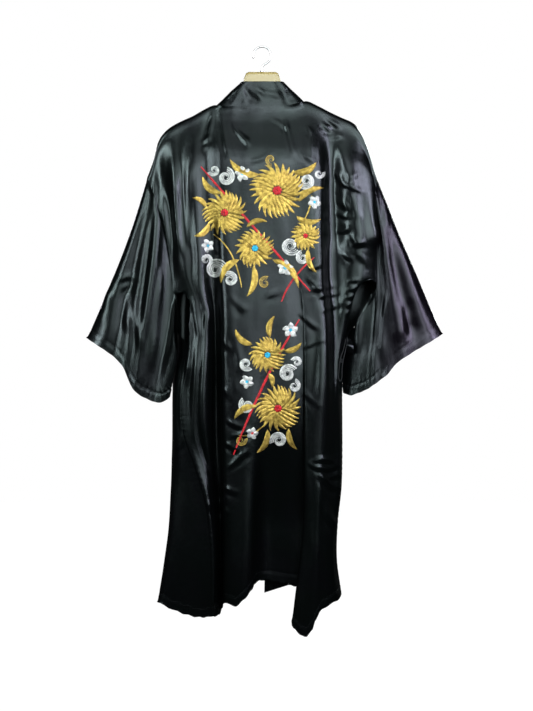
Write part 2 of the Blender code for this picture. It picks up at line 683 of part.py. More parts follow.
def sleeve(name, lines, armhole, sag, tuck_in, material):
    """A tube from armhole to cuff, its round drawn through the sleeve's fold lines."""
    away = math.copysign(SLEEVE_GAP, armhole[0].x)
    rows = []
    for k in range(SLEEVE_ROWS + 1):
        t = k / SLEEVE_ROWS
        ring = []
        for line in lines:
            start = (line.x, line.y, line.z)
            if line.x is ON_ARMHOLE:
                start = armhole_place(armhole, line.y, line.z)
            x = start[0] + (line.cuff_x - start[0]) * t
            y = start[1] + (line.cuff_y - start[1]) * t
            z = start[2] + (line.cuff_z - start[2]) * t
            y += math.copysign(1.0, line.cuff_y) * line.out_middle * math.sin(math.pi * t)
            ring.append((x, y, z))
        ring[0] = (ring[0][0] - math.copysign(sag, away) * math.sin(math.pi * t), ring[0][1], ring[0][2])
        points = through(ring, [SLEEVE_COLUMNS] * len(lines), closed=True)
        if k == 0:
            for i, line in enumerate(lines):
                following = lines[(i + 1) % len(lines)]
                if line.x is ON_ARMHOLE and following.x is ON_ARMHOLE:
                    between = SLEEVE_COLUMNS * i + 1
                    points[between] = np.array(armhole_place(armhole, line.y, points[between][2]))
            tucks = [tuck_in * smooth_step((TUCK_TOP - point[2]) / TUCK_LENGTH) for point in points]
        for point, tuck in zip(points, tucks):
            point[0] += away * (1 - t) ** 2
            point[1] -= math.copysign(tuck * (1 - t) ** 2, point[1])
        rows.append(points)
    return cloth(name, rows, material, closed=True)


def neck_band(material):
    """The long band: from the left hem up, round the neck and down to the right hem."""
    gap = BAND_GAP
    centre = NECK_SEAM[len(NECK_SEAM) // 2]

    def seam_run(side_rows, neck_rows):
        places = [(spot.x, -spot.y, spot.z + gap) for spot in neck_rows]
        places += [(spot.x + (gap if spot.x < 0 else -gap), spot.y, spot.z) for spot in side_rows[1:]]
        return places

    middle = NECK_SEAM.index(centre)
    left_seam = seam_run(LEFT_BAND_SEAM, list(reversed(NECK_SEAM[: middle + 1])))
    right_seam = seam_run(RIGHT_BAND_SEAM, list(NECK_SEAM[middle:]))
    left_free = [(spot.x, spot.y, spot.z) for spot in LEFT_BAND_FREE]
    right_free = [(spot.x, spot.y, spot.z) for spot in RIGHT_BAND_FREE]

    def half(seam, free):
        outer = through(seam, BAND_COUNTS)
        inner = through(free, BAND_COUNTS)
        return [through([a, (a + b) / 2, b], (1, 1)) for a, b in zip(outer, inner)]

    left = half(left_seam, left_free)
    right = half(right_seam, right_free)
    return cloth("neck_band", list(reversed(left)) + right[1:], material)


def hanger_board(material):
    """A flat board with rounded edges, its arms curving down to the tips."""
    stations = [row._replace(x=-row.x) for row in reversed(HANGER_BOARD[1:])] + list(HANGER_BOARD)
    rings = []
    bm = bmesh.new()
    for row in stations:
        radius = min(BOARD_ROUNDING, (row.top - row.bottom) / 2 - BOARD_TIP)
        ring = []
        for turn, (sy, sz) in enumerate(((1, 1), (-1, 1), (-1, -1), (1, -1))):
            y = sy * (BOARD_HALF_THICKNESS - radius)
            z = row.top - radius if sz > 0 else row.bottom + radius
            for k in range(ROUNDING_STEPS + 1):
                angle = math.radians(90 * turn + 90 * k / ROUNDING_STEPS)
                ring.append(bm.verts.new((row.x * MM, (y + radius * math.cos(angle)) * MM,
                                          (z + radius * math.sin(angle)) * MM)))
        rings.append(ring)
    for one, other in zip(rings, rings[1:]):
        for i in range(len(one)):
            j = (i + 1) % len(one)
            bm.faces.new((one[i], one[j], other[j], other[i]))
    bm.faces.new(reversed(rings[0]))
    bm.faces.new(rings[-1])
    bmesh.ops.recalc_face_normals(bm, faces=bm.faces[:])
    return add_object("hanger_board", bm, material)


def wire(name, places, sizes, material, cyclic=False):
    """A round wire or thread through these places, closed at its ends or joined in a ring."""
    curve = bpy.data.curves.new(name, "CURVE")
    curve.dimensions = "3D"
    curve.bevel_depth = MM / 2
    curve.bevel_resolution = WIRE_ROUNDING
    curve.use_fill_caps = not cyclic
    spline = curve.splines.new("POLY")
    spline.points.add(len(places) - 1)
    spline.use_cyclic_u = cyclic
    for spot, place, size in zip(spline.points, places, sizes):
        spot.co = (place[0] * MM, place[1] * MM, place[2] * MM, 1.0)
        spot.radius = size
    swept = bpy.data.objects.new(name, curve)
    bpy.context.scene.collection.objects.link(swept)
    evaluated = swept.evaluated_get(bpy.context.evaluated_depsgraph_get())
    bm = bmesh.new()
    bm.from_mesh(evaluated.to_mesh())
    bpy.data.objects.remove(swept)
    bmesh.ops.remove_doubles(bm, verts=bm.verts[:], dist=MM / 100)
    bmesh.ops.recalc_face_normals(bm, faces=bm.faces[:])
    return add_object(name, bm, material)


def hanger_hook(material):
    """A wire shank on a small collar, bent round over the rail."""
    centre = HOOK_WIRE / 2 - HOOK_RADIUS
    places = [(spot.x, 0.0, spot.z) for spot in HOOK_SHANK]
    sizes = [spot.thickness for spot in HOOK_SHANK]
    for k in range(HOOK_STEPS + 1):
        angle = math.radians(HOOK_START + (HOOK_END - HOOK_START) * k / HOOK_STEPS)
        places.append((HOOK_RADIUS * math.cos(angle), 0.0, centre + HOOK_RADIUS * math.sin(angle)))
        sizes.append(HOOK_WIRE)
    return wire("hanger_hook", places, sizes, material)


def belt_loop(material):
    path = [(spot.x, spot.y, spot.z) for spot in BELT_LOOP]
    places = through(path, [LOOP_STEPS] * len(path), closed=True)
    return wire("belt_loop", places, [LOOP_THREAD] * len(places), material, cyclic=True)


def side_tie(material):
    """A short flat ribbon end."""
    rows = []
    for spot in SIDE_TIE:
        edge = np.array((spot.half_width, spot.lean, 0.0))
        middle = np.array((spot.x, spot.y, spot.z), float)
        rows.append([middle - edge, middle, middle + edge])
    return cloth("side_tie", rows, material, wall=RIBBON_WALL)


def main():
    for piece in list(bpy.data.objects):
        bpy.data.objects.remove(piece)
    black = plain_material("black_satin", SATIN_BLACK, SATIN_ROUGHNESS)
    wood = plain_material("pale_wood", PALE_WOOD, WOOD_ROUGHNESS)
    back_panel(black)
    front_panel_left(black)
    front_panel_right(black)
    sleeve("sleeve_left", LEFT_SLEEVE, LEFT_ARMHOLE, LEFT_SLEEVE_SAG, LEFT_SEAM_TUCK, black)
    sleeve("sleeve_right", RIGHT_SLEEVE, RIGHT_ARMHOLE, RIGHT_SLEEVE_SAG, RIGHT_SEAM_TUCK, black)
    neck_band(black)
    belt_loop(black)
    side_tie(black)
    hanger_board(wood)
    hanger_hook(plain_material("bright_steel", STEEL, STEEL_ROUGHNESS, metallic=1.0))


main()
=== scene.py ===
"""Looks of a long black satin haori that hangs on a flat wooden clothes hanger.

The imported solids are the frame. Each cloth panel is a fine grid laid on its solid's form, with its
creases, hems and stitches, and the embroidery lies on the back panel's own surface.
Sizes are in millimetres unless a name says otherwise. The robe's back faces -Y and +Z is up.
"""

import json
import math
from collections import namedtuple

import bmesh
import bpy
import numpy as np
from bpy.props import FloatProperty, FloatVectorProperty, PointerProperty
from mathutils import Matrix, Vector, noise
from mathutils.bvhtree import BVHTree

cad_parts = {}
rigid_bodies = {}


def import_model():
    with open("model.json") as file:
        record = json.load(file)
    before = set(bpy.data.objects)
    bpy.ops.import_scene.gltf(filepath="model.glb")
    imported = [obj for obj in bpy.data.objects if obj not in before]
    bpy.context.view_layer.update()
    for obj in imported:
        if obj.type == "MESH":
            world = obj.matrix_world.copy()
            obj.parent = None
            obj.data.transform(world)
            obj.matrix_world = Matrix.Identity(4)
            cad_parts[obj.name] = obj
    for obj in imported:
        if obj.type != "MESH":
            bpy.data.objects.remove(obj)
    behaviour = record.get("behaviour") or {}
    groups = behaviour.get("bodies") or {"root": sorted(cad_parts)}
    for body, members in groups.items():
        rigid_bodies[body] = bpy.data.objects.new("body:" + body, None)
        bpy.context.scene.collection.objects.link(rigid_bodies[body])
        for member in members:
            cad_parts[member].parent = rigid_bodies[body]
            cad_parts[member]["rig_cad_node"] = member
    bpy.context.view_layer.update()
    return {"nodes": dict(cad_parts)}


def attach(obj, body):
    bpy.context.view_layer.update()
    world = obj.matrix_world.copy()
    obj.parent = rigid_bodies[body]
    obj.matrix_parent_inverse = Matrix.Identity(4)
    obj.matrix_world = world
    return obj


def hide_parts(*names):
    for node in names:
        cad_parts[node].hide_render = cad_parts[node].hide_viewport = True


bl_info = {
    "name": "Haori on a hanger",
    "version": (1, 0, 0),
    "blender": (4, 5, 0),
    "location": "View3D > Sidebar > Haori",
    "description": "Satin panels, embroidery and hanger of a long haori, built on its solid frame",
    "category": "Object",
}

for leftover in list(bpy.data.objects):
    bpy.data.objects.remove(leftover)
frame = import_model()

MM = 0.001

# Camera: it stands level behind the robe, where the whole robe fills the picture
CAMERA_DISTANCE = 2600.0
CAMERA_X = 10.0
CAMERA_Z = -693.0
VIEW_HEIGHT = 1600.0

# Grids of the cloth that shows, its creases, seams and hems
BACK_STEP = 4.3
FRONT_STEP = 4.6
SLEEVE_STEP = 4.6
BAND_STEP = 3.6
BAND_WALL = 1.0
RIPPLE_STRETCH = 2.2
CREASE_FADE = 0.35
CREASE_GROWTH = (0.75, 0.5)
CREASE_DIP = 0.6
CREASE_DIP_BESIDE = 1.5
CREASE_UNEVEN = 0.3
CREASE_BEATS = 9
HEM_RISE = 0.35
HEM_STEP = 1.5
STITCH_SINK = 0.7
STITCH_SPREAD = 2.2
PUCKER_REACH = 9.0
PUCKER_LENGTH = 13.0
PUCKER_DRIFT = 37.0
HEM_DRIFT = 2.0
SEAM_DRIFT = 2.5
PUCKER_DEPTH = 0.45
SEAM_RISE = 0.8
SEAM_TURN = 3.0
SEAM_PUCKER = 0.45
SHARP_EDGE = 55.0
SEAM_HOLD = 12.0
UNDERARM_SLIT = (-530.0, -640.0)
SCALLOP_DEPTH = 1.5
SCALLOP_REACH = 11.0
SCALLOP_LENGTH = 27.0
SCALLOP_DRIFT = 2.5
CUFF_SCALLOP = 0.4

# Form of the robe as it hangs, from the same measures as its solids: its ridge over the hanger,
# its gaps at the seams, and the cloth that settles beside the slits
SEAM_GAP = 0.1
RIDGE_RADIUS = 8.1
RIDGE_ANGLES = (7.0, 38.0, 68.0, 90.0)
RIDGE_SETTLE = 130.0
BESIDE_SETTLE = 0.1
ROW_LEVEL_START = -178.0
ROW_FAN = 0.22
EDGE_INSET = 0.15
SLEEVE_GAP = 0.45
BAND_GAP = 0.3
BAND_TUCK = 2.0
BAND_TUCK_X = 0.985
BAND_TUCK_Y = 0.9
SETTLE_ROUNDS = 12
SETTLE_STRENGTH = 0.6
SETTLE_COLUMNS = 8
SETTLE_TOP = -455.0
SETTLE_FOOT = -690.0
LEFT_SEAM_TUCK = 2.0
RIGHT_SEAM_TUCK = 4.4
TUCK_TOP = -330.0
TUCK_LENGTH = 100.0

# Which edge of its panel a fold line runs beside
FIRST = "first"
LAST = "last"

# Heights at which the fold tables give a fold line's place
CHEST = -330.0
ARMPIT = -520.0
SLIT = -610.0
HIP = -830.0
KNEE = -1040.0

# Hook of the hanger
HOOK_WIRE = 3.6
HOOK_RADIUS = 20.0


def table(kind, *rows):
    """A table whose rows have the named columns of their kind."""
    return tuple(kind(*row) for row in rows)


Shoulder = namedtuple("Shoulder", "place x z")
SHOULDER_LINE = table(
    Shoulder,
    ("left armhole", -258, -293),
    ("left outer roll", -243, -252),
    ("left hanger tip", -229, -204),
    ("left shoulder", -214, -186),
    ("left slope", -146, -150),
    ("left neck corner", -106, -130),
    ("right neck corner", 97, -121),
    ("right slope", 140, -140),
    ("right shoulder", 198, -168),
    ("right hanger tip", 218, -179),
    ("right outer roll", 226, -200),
    ("right sleeve head", 240, -253),
    ("right armhole", 256, -290),
)

Neck = namedtuple("Neck", "place x y z")
NECK_SEAM = table(
    Neck,
    ("left corner", -106, 0.0, -130),
    ("left roll", -98, 9.5, -132.5),
    ("left quarter", -54, 12.5, -134.5),
    ("centre", -14, 14.0, -135.5),
    ("right quarter", 45, 12.5, -132.5),
    ("right roll", 89, 9.5, -125),
    ("right corner", 97, 0.0, -121),
)

# A fold line: its sideways place at each height, its hem height, and how far it stands from
# the hanger's plane, towards the outside of the robe. A line beside an edge gives instead how
# far inside that edge it runs and how far it stands out from it.
Fold = namedtuple(
    "Fold",
    "name beside top chest armpit slit hip knee hem hem_z"
    " out_chest out_armpit out_slit out_hip out_knee",
)

BACK_FOLDS = table(
    Fold,
    ("left_outer_roll", FIRST, -243, 6, 6, 5, 9, 7, 7, -1272, 2, 5, 3, 4, 3),
    ("left_band_dip", FIRST, -229, 18, 17, 13, 18, 16, 9, -1273, 1, 7, 3, 6, -6),
    ("left_lobe_ridge", None, -212, None, -172, -139, -153, -104, -100, -1273, 33, 33, 34, 37, 26),
    ("left_lobe_dip", None, -189, None, -161, -132, -143, -101, -97, -1272, 27, 27, 28, 33, 17),
    ("left_back_ridge", None, -155, None, -147, -125, -131, -98, -94, -1270, 34, 34, 36, 41, 8),
    ("left_trough_lip", None, -124, None, -128, -116, -116, -95, -92, -1266, 30, 30, 30, 24, 0),
    ("left_neck_fold", None, -108, None, -111, -106, -101, -91, -88, -1258, 34, 18, 13, 7, 6),
    ("panel_left", None, -96, None, -91, -87, -86, -83, -82, -1241, 38, 42, 44, 46, 44),
    ("panel_quarter", None, -54, None, -53, -53, -53, -54, -56, -1244, 40, 46, 50, 54, 55),
    ("recess_edge", None, -22, None, -18, -18, -18, -22, -28, -1213, 40, 46, 50, 55, 51),
    ("recess_left", None, 0, None, 9, 9, 7, -8, -15, -1199, 40, 46, 50, 50, 24),
    ("recess_right", None, 22, None, 51, 53, 66, 66, 58, -1202, 40, 45, 48, 46, 20),
    ("pleat_turn", None, 45, None, 78, 91, 117, 114, 100, -1207, 39, 43, 43, 38, 24),
    ("pleat_edge", None, 87, None, 94, 94, 94, 92, 66, -1288, 38, 44, 49, 52, 48),
    ("pleat_ridge", None, 99, None, 114, 113, 115, 112, 94, -1312, 38, 45, 50, 58, 60),
    ("right_ridge", None, 122, None, 134, 142, 144, 138, 136, -1249, 33, 40, 45, 50, 54),
    ("right_trough", None, 150, None, 166, 164, 156, 148, 152, -1243, 14, 14, 18, 38, 46),
    ("right_lobe_inner", None, 178, None, 192, 176, 166, 157, 162, -1238, 32, 30, 25, 30, 36),
    ("right_lobe_middle", LAST, 206, 38, 24, 9, 6, 6, 7, -1236, 16, 21, 15, 21, 24),
    ("right_outer_roll", LAST, 226, 8, -9, 4, 2, 2, 2, -1233, 8, 15, 7, 10, 11),
)

FRONT_LEFT_FOLDS = table(
    Fold,
    ("side_crest", FIRST, -243, 5, 5, -10, -14, -40, -24, -1275, 3, 6, 10, 7, 4),
    ("side_edge", None, -229, None, -189, -196, -201, -206, -235, -1243, 24, 26, 32, 4, -16),
    ("side_turn", None, -212, None, -171, -176, -188, -194, -216, -1254, 32, 34, 38, 28, 18),
    ("outer_valley", None, -180, None, -156, -160, -166, -168, -184, -1262, 24, 25, 27, 32, 32),
    ("outer_ridge", None, -155, None, -140, -143, -146, -147, -157, -1270, 36, 44, 50, 58, 62),
    ("middle_valley", None, -136, None, -126, -127, -128, -129, -135, -1274, 24, 26, 27, 31, 30),
    ("inner_ridge", None, -119, None, -112, -110, -110, -110, -113, -1264, 32, 40, 46, 57, 60),
)

FRONT_RIGHT_FOLDS = table(
    Fold,
    ("outer_roll", LAST, 226, 8, -7, 3, 2, 2, 2, -1224, 5, 14, 10, 9, 9),
    ("outer_turn", None, 208, None, 214, 170, 160, 150, 160, -1226, 30, 34, 30, 22, 24),
    ("outer_valley", None, 178, None, 186, 158, 146, 139, 145, -1226, 22, 24, 23, 25, 25),
    ("outer_ridge", None, 150, None, 162, 146, 132, 126, 128, -1228, 36, 44, 48, 56, 60),
    ("middle_valley", None, 130, None, 140, 130, 114, 108, 107, -1228, 24, 27, 28, 31, 31),
    ("inner_ridge", None, 110, None, 116, 104, 92, 87, 86, -1226, 32, 41, 46, 56, 60),
)

# An edge of a panel: the row of the cut it lies on, where it really hangs, and how far the
# cloth beside it is drawn up there. y is towards the wearer's front.
Edge = namedtuple("Edge", "place row x y z pull")

LEFT_ARMHOLE = table(
    Edge,
    ("armhole top", -293, -258, 1, -293, 0),
    ("armhole upper", -343, -238, 17, -343, 0),
    ("armhole middle", -410, -219, 16, -410, 0),
    ("armhole lower", -478, -208, 14, -478, 8),
    ("underarm", -550, -194, 15, -556, 22),
)

RIGHT_ARMHOLE = table(
    Edge,
    ("armhole top", -290, 256, 1, -290, 0),
    ("armhole upper", -345, 256, 13, -345, 0),
    ("armhole middle", -430, 257, 12, -430, 4),
    ("armhole lower", -490, 258, 11, -490, 14),
    ("underarm", -532, 258, 10, -537, 28),
)

LEFT_SIDE_SEAM = table(
    Edge,
    ("slit foot", -668, -166, -25, -668, 0),
    ("waist", -757, -177, -27, -757, 0),
    ("hip", -829, -181, -29, -829, 0),
    ("thigh", -923, -156, -33, -923, 0),
    ("above knee", -1004, -130, -36, -1004, 0),
    ("below knee", -1085, -118, -37, -1085, 0),
    ("shin", -1153, -114, -37, -1153, 0),
    ("hem", -1273, -114, -35, -1273, 0),
)

RIGHT_SIDE_SEAM = table(
    Edge,
    ("slit foot", -650, 188, -4, -646, 0),
    ("waist", -700, 183, 0, -700, 0),
    ("hip", -768, 180, 0, -768, 0),
    ("seat", -829, 180, 0, -829, 0),
    ("thigh", -950, 180, 0, -950, 0),
    ("knee", -1040, 173, 0, -1040, 0),
    ("shin", -1120, 165, 0, -1120, 0),
    ("ankle", -1176, 171, 0, -1176, 0),
    ("hem", -1228, 178, 0, -1228, 0),
)

LEFT_BACK_SLIT = table(
    Edge,
    ("slit roll", -572, -181, -18, -550, 24),
    ("slit top", -592, -168, -21, -546, 44),
    ("slit upper", -614, -161, -24, -576, 40),
    ("slit lower", -642, -161, -26, -622, 21),
)

RIGHT_BACK_SLIT = table(
    Edge,
    ("slit roll", -548, 252, -15, -522, 30),
    ("slit crest", -566, 234, -19, -512, 52),
    ("slit top", -586, 213, -17, -530, 54),
    ("slit upper", -608, 203, -14, -570, 38),
    ("slit lower", -630, 196, -9, -612, 18),
)

LEFT_FRONT_SLIT = table(
    Edge,
    ("slit upper", -596, -198, 26, -596, 0),
    ("slit lower", -632, -194, 10, -632, 0),
)

RIGHT_FRONT_SLIT = table(
    Edge,
    ("slit upper", -572, 248, 20, -572, 0),
    ("slit middle", -600, 230, 19, -600, 0),
    ("slit lower", -630, 205, 10, -630, 0),
)

LEFT_BAND_SEAM = table(
    Edge,
    ("neck corner", -131, -107, 1, -131, 0),
    ("neck roll", -137, -103, 9.5, -137, 0),
    ("collar bone", -172, -107, 11, -172, 0),
    ("upper chest", -225, -106, 16, -225, 0),
    ("chest", -300, -102, 22, -300, 0),
    ("slit", -610, -94, 44, -610, 0),
    ("hip", -830, -92, 50, -830, 0),
    ("knee", -1040, -91, 52, -1040, 0),
    ("hem", -1240, -90, 52, -1240, 0),
)

RIGHT_BAND_SEAM = table(
    Edge,
    ("neck corner", -122, 98, 1, -122, 0),
    ("neck roll", -128, 93, 9.5, -128, 0),
    ("collar bone", -165, 80, 11, -165, 0),
    ("upper chest", -225, 70, 16, -225, 0),
    ("chest", -300, 68, 22, -300, 0),
    ("slit", -610, 68, 44, -610, 0),
    ("hip", -830, 66, 50, -830, 0),
    ("knee", -1040, 63, 52, -1040, 0),
    ("hem", -1220, 60, 52, -1220, 0),
)

# How strongly the fold lines beside an edge follow its pull, nearest line first
PULL_WEIGHTS = (1.0, 0.75, 0.45, 0.2, 0.08)

# Band: the edge that stands free, from the centre of the neck to the hem on each side
Band = namedtuple("Band", "place x y z")
LEFT_BAND_FREE = table(
    Band,
    ("neck centre", 1, -10.5, -78.5),
    ("neck quarter", -22, -10, -78.5),
    ("neck roll", -40, -9.5, -78.5),
    ("shoulder", -47, 0, -78.5),
    ("front roll", -45, 9.5, -82),
    ("collar bone", -52, 11, -128),
    ("upper chest", -53, 15, -192),
    ("chest", -47, 21, -290),
    ("slit", -39, 43, -610),
    ("hip", -37, 48, -830),
    ("knee", -36, 50, -1040),
    ("hem", -35, 50, -1241),
)
RIGHT_BAND_FREE = table(
    Band,
    ("neck centre", 1, -10.5, -78.5),
    ("neck quarter", 24, -10, -78.5),
    ("neck roll", 42, -9.5, -78.5),
    ("shoulder", 49, 0, -78.5),
    ("front roll", 46, 9.5, -82),
    ("collar bone", 30, 11, -126),
    ("upper chest", 15, 15, -192),
    ("chest", 13, 21, -290),
    ("slit", 13, 43, -610),
    ("hip", 11, 48, -830),
    ("knee", 8, 50, -1040),
    ("hem", 5, 50, -1237),
)

# Sleeves: each line runs from the armhole or the free inner edge to the cuff. A line that
# starts on the armhole takes its place there from the armhole's own table, on the side that
# its y points to. out_middle is how far it stands out halfway, beyond a straight line.
ON_ARMHOLE = None
SleeveLine = namedtuple("SleeveLine", "name x y z cuff_x cuff_y cuff_z out_middle")
LEFT_SLEEVE = table(
    SleeveLine,
    ("top_fold", -258, 0, -293, -396, 0, -653, 0),
    ("back_ridge_1", ON_ARMHOLE, -1, -306, -357, -15, -678, 4),
    ("back_dip_1", ON_ARMHOLE, -1, -318, -333, -13, -695, 2),
    ("back_ridge_2", ON_ARMHOLE, -1, -332, -310, -21, -719, 5),
    ("back_dip_2", ON_ARMHOLE, -1, -350, -297, -22, -750, 5),
    ("back_ridge_3", ON_ARMHOLE, -1, -372, -281, -27, -775, 8),
    ("back_dip_3", ON_ARMHOLE, -1, -404, -270, -25, -783, 6),
    ("back_ridge_4", ON_ARMHOLE, -1, -440, -261, -23, -788, 4),
    ("back_band_dip", ON_ARMHOLE, -1, -492, -252, -21, -792, 1),
    ("back_underarm", ON_ARMHOLE, -1, -555, -243, -20, -796, 0),
    ("back_free_edge", -196, -32, -634, -222, -24, -797, 0),
    ("bottom_fold", -187, -34, -694, -205, -22, -785, 0),
    ("front_free_edge", -190, -3, -644, -223, -4, -795, 0),
    ("front_underarm", ON_ARMHOLE, 1, -555, -238, 6, -797, 0),
    ("front_ridge_3", ON_ARMHOLE, 1, -478, -258, 18, -787, 12),
    ("front_dip_2", ON_ARMHOLE, 1, -410, -282, 9, -770, 2),
    ("front_ridge_2", ON_ARMHOLE, 1, -368, -303, 22, -736, 8),
    ("front_dip_1", ON_ARMHOLE, 1, -336, -330, 9, -699, 1),
    ("front_ridge_1", ON_ARMHOLE, 1, -312, -358, 15, -678, 5),
)
RIGHT_SLEEVE = table(
    SleeveLine,
    ("top_fold", 256, 0, -290, 407, 0, -644, 0),
    ("back_ridge_1", ON_ARMHOLE, -1, -305, 376, -14, -663, 4),
    ("back_dip_1", ON_ARMHOLE, -1, -322, 345, -14, -681, 3),
    ("back_ridge_2", ON_ARMHOLE, -1, -342, 318, -20, -698, 5),
    ("back_dip_2", ON_ARMHOLE, -1, -368, 298, -18, -713, 0),
    ("back_ridge_3", ON_ARMHOLE, -1, -402, 281, -17, -735, -4),
    ("back_dip_3", ON_ARMHOLE, -1, -440, 266, -13, -747, -1),
    ("back_ridge_4", ON_ARMHOLE, -1, -485, 250, -13, -759, 0),
    ("back_underarm", ON_ARMHOLE, -1, -536, 232, -4, -771, 0),
    ("back_free_upper", 229, -1, -588, 215, 0, -778, 0),
    ("back_free_lower", 204, 14, -636, 200, 6, -783, 0),
    ("bottom_fold", 175, 36, -690, 184, 20, -777, 0),
    ("front_free_lower", 202, 41, -637, 200, 26, -782, 0),
    ("front_free_upper", 244, 22, -588, 220, 26, -774, 0),
    ("front_underarm", ON_ARMHOLE, 1, -536, 240, 22, -764, 0),
    ("front_dip_2", ON_ARMHOLE, 1, -446, 268, 7, -745, -4),
    ("front_ridge_2", ON_ARMHOLE, 1, -378, 300, 21, -712, -2),
    ("front_dip_1", ON_ARMHOLE, 1, -342, 335, 9, -687, 1),
    ("front_ridge_1", ON_ARMHOLE, 1, -308, 374, 15, -664, 5),
)

# How far the top fold of each sleeve hangs inside a straight line, halfway along
LEFT_SLEEVE_SAG = 10.0
RIGHT_SLEEVE_SAG = 3.0
SLEEVE_ROWS = 10

# Rows of the panels, by fraction of the cut from the shoulder's ridge to the hem
CUT_ROWS = (
    0.015, 0.045, 0.085, 0.125, 0.165, 0.205, 0.24, 0.27, 0.295, 0.314, 0.331, 0.347, 0.362,
    0.378, 0.396, 0.418, 0.45, 0.50, 0.56, 0.63, 0.70, 0.77, 0.85, 0.93, 1.0,
)

# Wire hook: a path up from the board and round over the rail, seen from the back
Wire = namedtuple("Wire", "place x z thickness")
HOOK_SHANK = table(
    Wire,
    ("collar foot", 0, -54.6, 9.0),
    ("collar top", 0, -52.6, 9.0),
    ("shank", 0, -51.6, HOOK_WIRE),
    ("shank bend", 0, -44.5, HOOK_WIRE),
)
HOOK_START = -66.0
HOOK_END = 198.0

# Thread loop for a belt, hanging from the foot of the right slit
Cord = namedtuple("Cord", "place x y z")
BELT_LOOP = table(
    Cord,
    ("fast end", 190.4, -7.5, -652),
    ("over the seam", 190, -18, -663),
    ("outer strand", 186, -30, -680),
    ("outer strand at knot", 181, -36, -700),
    ("outer strand below knot", 177.5, -37.5, -725),
    ("outer foot", 176.5, -37.5, -744),
    ("foot", 173.5, -37.5, -750),
    ("inner foot", 170.5, -37.5, -744),
    ("inner strand below knot", 171, -37.5, -725),
    ("inner strand at knot", 174, -36.5, -700),
    ("inner strand", 181, -32.5, -680),
    ("under the seam", 187, -21.5, -657),
)

# Ribbon end sewn to the foot of the right slit: its middle line, and how far its edges stand
Ribbon = namedtuple("Ribbon", "place x y z half_width lean")
SIDE_TIE = table(
    Ribbon,
    ("fast end", 192.9, -2.2, -655, 4.5, 1.0),
    ("first bend", 195.8, -5, -662, 6, 2),
    ("middle", 197, -11, -670, 7, 1),
    ("second bend", 198, -10, -679, 7, -1),
    ("cut end", 199, -7, -687, 7, -2),
)

# Columns from one fold line of a panel to the next, and rows from one place on the band to the
# next, as on the solids
BACK_COUNTS = [1, 1, 2, 2, 2, 2, 2, 3, 2, 2, 2, 3, 3, 3, 2, 3, 2, 2, 3, 1, 1]
FRONT_LEFT_COUNTS = [1, 2, 3, 2, 3, 3, 3, 3]
FRONT_RIGHT_COUNTS = [2, 3, 3, 3, 2, 2, 2]
BAND_COUNTS = [3, 2, 3, 3, 2, 2, 2, 4, 3, 3, 3]

# Satin. Its cast changes from patch to patch, and the right sleeve leans to purple. Real floats
# lie about 0.1 mm apart, and are drawn wider so that they show.
SATIN_SPECULAR = 0.22
TINT_PATCH = 90.0
TINT_EDGE = {"From Min": 0.4, "From Max": 0.6}
PURPLE_SHARE = 0.3
SLEEVE_TINT = {"From Min": 240.0 * MM, "From Max": 300.0 * MM}
FLOAT_SPACING = 1.1
FLOAT_BEND = {"Distortion": 1.2, "Detail": 1.0}
WEAVE_BUMP = {"Strength": 0.25, "Distance": 0.1 * MM}
CRINKLE_SIZE = 9.0
CRINKLE_ROUGHNESS = {"To Min": 0.18, "To Max": 0.25}
CRINKLE_BUMP = {"Strength": 0.12, "Distance": 1.2 * MM}
CRUMPLE_SIZE = 38.0
CRUMPLE_STRETCH = (1.0, 1.0, 0.6)
CRUMPLE_EDGES = {"Detail": 1.5, "Roughness": 0.4, "Distortion": 0.6}
CRUMPLE_STRENGTH = {"From Min": 0.48, "From Max": 0.66, "To Min": 0.06, "To Max": 0.34}
CRUMPLE_HEIGHT = 2.2 * MM

# Embroidery threads: how metallic each is, and how rough. Real strands lie about 0.4 mm apart
# and are drawn coarser so that they show.
THREADS = {"gold": (0.75, 0.33), "silver": (0.5, 0.38), "red": (0.0, 0.42), "cyan": (0.0, 0.40)}
THREAD_SPECULAR = 0.15
STRAND_SPACING = 3.2
STRAND_BEND = {"Distortion": 0.8, "Detail": 1.0}
# Painted light: each strand's top takes its thread's lit colour and the gap between strands takes its
# painted shade colour
STRAND_LIT = 0.6
STRAND_BUMP = {"Strength": 0.7, "Distance": 0.25 * MM}
# Patches of painted shade: noise darkens the thread towards its shade colour
THREAD_PATCH = 8.0
THREAD_SHADE = {"From Min": 0.4, "From Max": 0.7, "To Max": 0.75}
THREAD_WALL = 0.35

# Sewing thread, its twist drawn coarser than the real 0.3 mm so that it shows, with a painted
# highlight in grey along the twist
SEWING_ROUGHNESS = 0.6
TWIST_SIZE = 1.2
TWIST_BUMP = {"Strength": 0.5, "Distance": 0.2 * MM}

# Wood and wire
WOOD_ROUGHNESS = 0.42
VARNISH = 0.15
GRAIN_STRETCH = (0.06, 1.0, 1.0)
GRAIN_WIDTH = 3.0
GRAIN_BEND = {"Distortion": 5.0, "Detail": 3.0, "Detail Scale": 1.5}
GRAIN_SHARE = 0.55
GRAIN_BUMP = {"Strength": 0.25, "Distance": 0.2 * MM}
STREAK_WIDTH = 5.0
MARK_SIZE = 1.5
STEEL_ROUGHNESS = {"To Min": 0.14, "To Max": 0.34}

# Stage
FLOOR_BASE = 0.03
FLOOR_ROUGHNESS = 0.9
FLOOR_SIDES = 96
WHITE = (1.0, 1.0, 1.0, 1.0)
SENSOR_WIDTH = 36.0

# Stitches, loop, knot, ribbon and hook
STITCH_PITCH = 4.2
STITCH_LENGTH = 3.0
STITCH_WIDE = 0.3
TUBE_ROUNDING = 4
LOOP_CORD = 1.8
LOOP_STEPS = 5
KNOT_PLACE = (176.3, -37.0, -704.0)
KNOT_SIZE = 1.5
KNOT_STEPS = 60
RIBBON_STEP = 1.2
RIBBON_CREASE = 1.5
HOOK_BEND_STEPS = 8
HOOK_FINE_STEPS = 64
HOOK_TIP = 0.6

